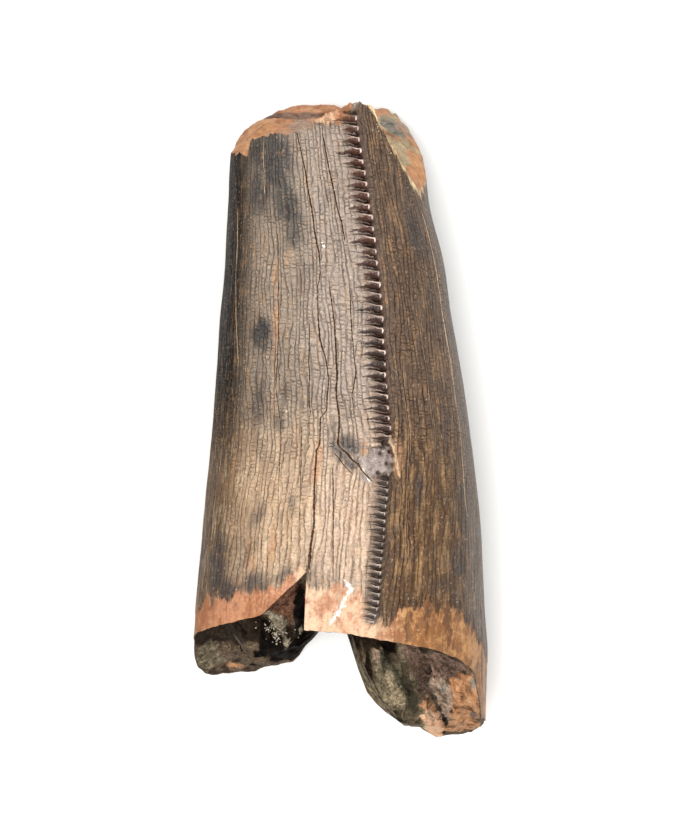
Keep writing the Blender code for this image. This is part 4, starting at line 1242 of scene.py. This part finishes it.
def tooth_skin():
    """The tooth's skin, rolled up from one sheet."""
    skin = Skin()
    build_cap(skin)
    build_wall(skin)
    build_base(skin)
    places = lie_down(np.concatenate(skin.rows))
    rows, wide = places.shape[:2]
    bpy.ops.object.select_all(action="DESELECT")
    bpy.ops.mesh.primitive_grid_add(x_subdivisions=wide - 1, y_subdivisions=rows - 1, size=2)
    tooth = bpy.context.object
    tooth.name = "tooth_skin"
    mesh = tooth.data
    flat = np.empty(len(mesh.vertices) * 3)
    mesh.vertices.foreach_get("co", flat)
    flat = flat.reshape(-1, 3)
    column = np.rint((flat[:, 0] + 1) / 2 * (wide - 1)).astype(int)
    row = np.rint((flat[:, 1] + 1) / 2 * (rows - 1)).astype(int)
    mesh.vertices.foreach_set("co", places[row, column].ravel())
    tell_materials(mesh, skin, row, column)
    give_finishes(mesh, skin, row)

    bpy.ops.object.mode_set(mode="EDIT")
    bpy.ops.mesh.select_all(action="SELECT")
    bpy.ops.mesh.remove_doubles(threshold=1e-6)
    bpy.ops.mesh.normals_make_consistent(inside=False)
    bpy.ops.object.mode_set(mode="OBJECT")
    bpy.ops.object.shade_smooth_by_angle(angle=math.radians(SMOOTH_UNDER))
    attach(tooth, "root")
    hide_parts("tooth")
    return tooth


def calcite():
    """Calcite: pale, waxy grains, some stained by earth."""
    material, shader, add = finish_of("calcite grains", "#cfc2a9", 0.35)
    at = add("TexCoord", {}).outputs["Object"]
    tint = add("TexNoise", {"Vector": at, "Scale": 1 / (0.35 * MM), "Detail": 2.0})
    tint = add("MapRange", {0: tint, 1: 0.35, 2: 0.65})
    tint = add("Mix", {0: tint, 6: "#5f5342", 7: "#c4b8a0"}, "RGBA")
    material.node_tree.links.new(tint.outputs[2], shader.inputs["Base Color"])
    return material


def calcite_grains(tooth):
    """Grains that grew in the notch and on the breaks, each sunk a little into the skin."""
    dice = np.random.default_rng(GRAIN_SEED)
    mesh = tooth.data
    tree = BVHTree.FromPolygons([v.co[:] for v in mesh.vertices], [f.vertices[:] for f in mesh.polygons])
    bpy.ops.object.select_all(action="DESELECT")
    grains = []
    for x, y, half_x, half_y, count, size in GRAIN_PATCHES:
        for _ in range(count):
            dropped = dice.normal((x, y), (GRAIN_SPREAD * half_x, GRAIN_SPREAD * half_y))
            hit, facing, _, _ = tree.ray_cast(Vector((*dropped, GRAIN_DROP)) * MM, Vector((0, 0, -1)))
            if hit is None:
                continue
            turn = dice.uniform(0, 6.3, 3)
            scale = size * MM * dice.uniform(0.5, 1.2) * dice.uniform(0.6, 1.3, 3)
            at = hit + facing * GRAIN_LIFT * MM
            bpy.ops.mesh.primitive_ico_sphere_add(
                subdivisions=1, radius=1, location=at, rotation=turn, scale=scale
            )
            grains.append(bpy.context.object)
    for grain in grains:
        grain.select_set(True)
    bpy.context.view_layer.objects.active = grains[0]
    bpy.ops.object.join()
    bpy.ops.object.transform_apply(location=True, rotation=True, scale=True)
    crust = bpy.context.object
    crust.name = "calcite_grains"
    crust.data.materials.append(calcite())
    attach(crust, "root")


def studio():
    """A plain pale floor, soft light, and the camera above the tooth."""
    bpy.ops.mesh.primitive_plane_add(size=FLOOR_SIZE)
    floor = bpy.context.object
    floor.name = "floor"
    # Matt paper has no gloss, so nothing but the tooth's soft shadow shows on it.
    paper, _, _ = finish_of("matt white paper", "#f4f4f2", 0.9)
    floor.data.materials.append(paper)
    floor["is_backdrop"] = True

    world = bpy.data.worlds.new("studio")
    bpy.context.scene.world = world
    world.use_nodes = True
    world.node_tree.nodes["Background"].inputs["Color"].default_value = colour("#ffffff")
    world.node_tree.nodes["Background"].inputs["Strength"].default_value = SKY

    for name, at, size, watts in LAMPS:
        lamp = bpy.data.lights.new(name, "AREA")
        lamp.size = size
        lamp.energy = watts
        light = bpy.data.objects.new(name, lamp)
        light.location = at
        light.rotation_euler = light.location.to_track_quat("Z", "Y").to_euler()
        bpy.context.scene.collection.objects.link(light)

    lens = bpy.data.cameras.new("camera")
    lens.sensor_width = SENSOR
    lens.lens = FOCAL * SENSOR / PICTURE_HEIGHT
    lens.clip_start = CLIP_START
    camera = bpy.data.objects.new("camera", lens)
    camera.location = (CAMERA_X * MM, CAMERA_Y * MM, CAMERA_Z * MM)
    bpy.context.scene.collection.objects.link(camera)
    bpy.context.scene.camera = camera
    bpy.context.scene.view_settings.view_transform = "Standard"


calcite_grains(tooth_skin())
studio()
plain = [[[float(v) for v in corner] for corner in box] for box in (START_BOUNDS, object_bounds())]
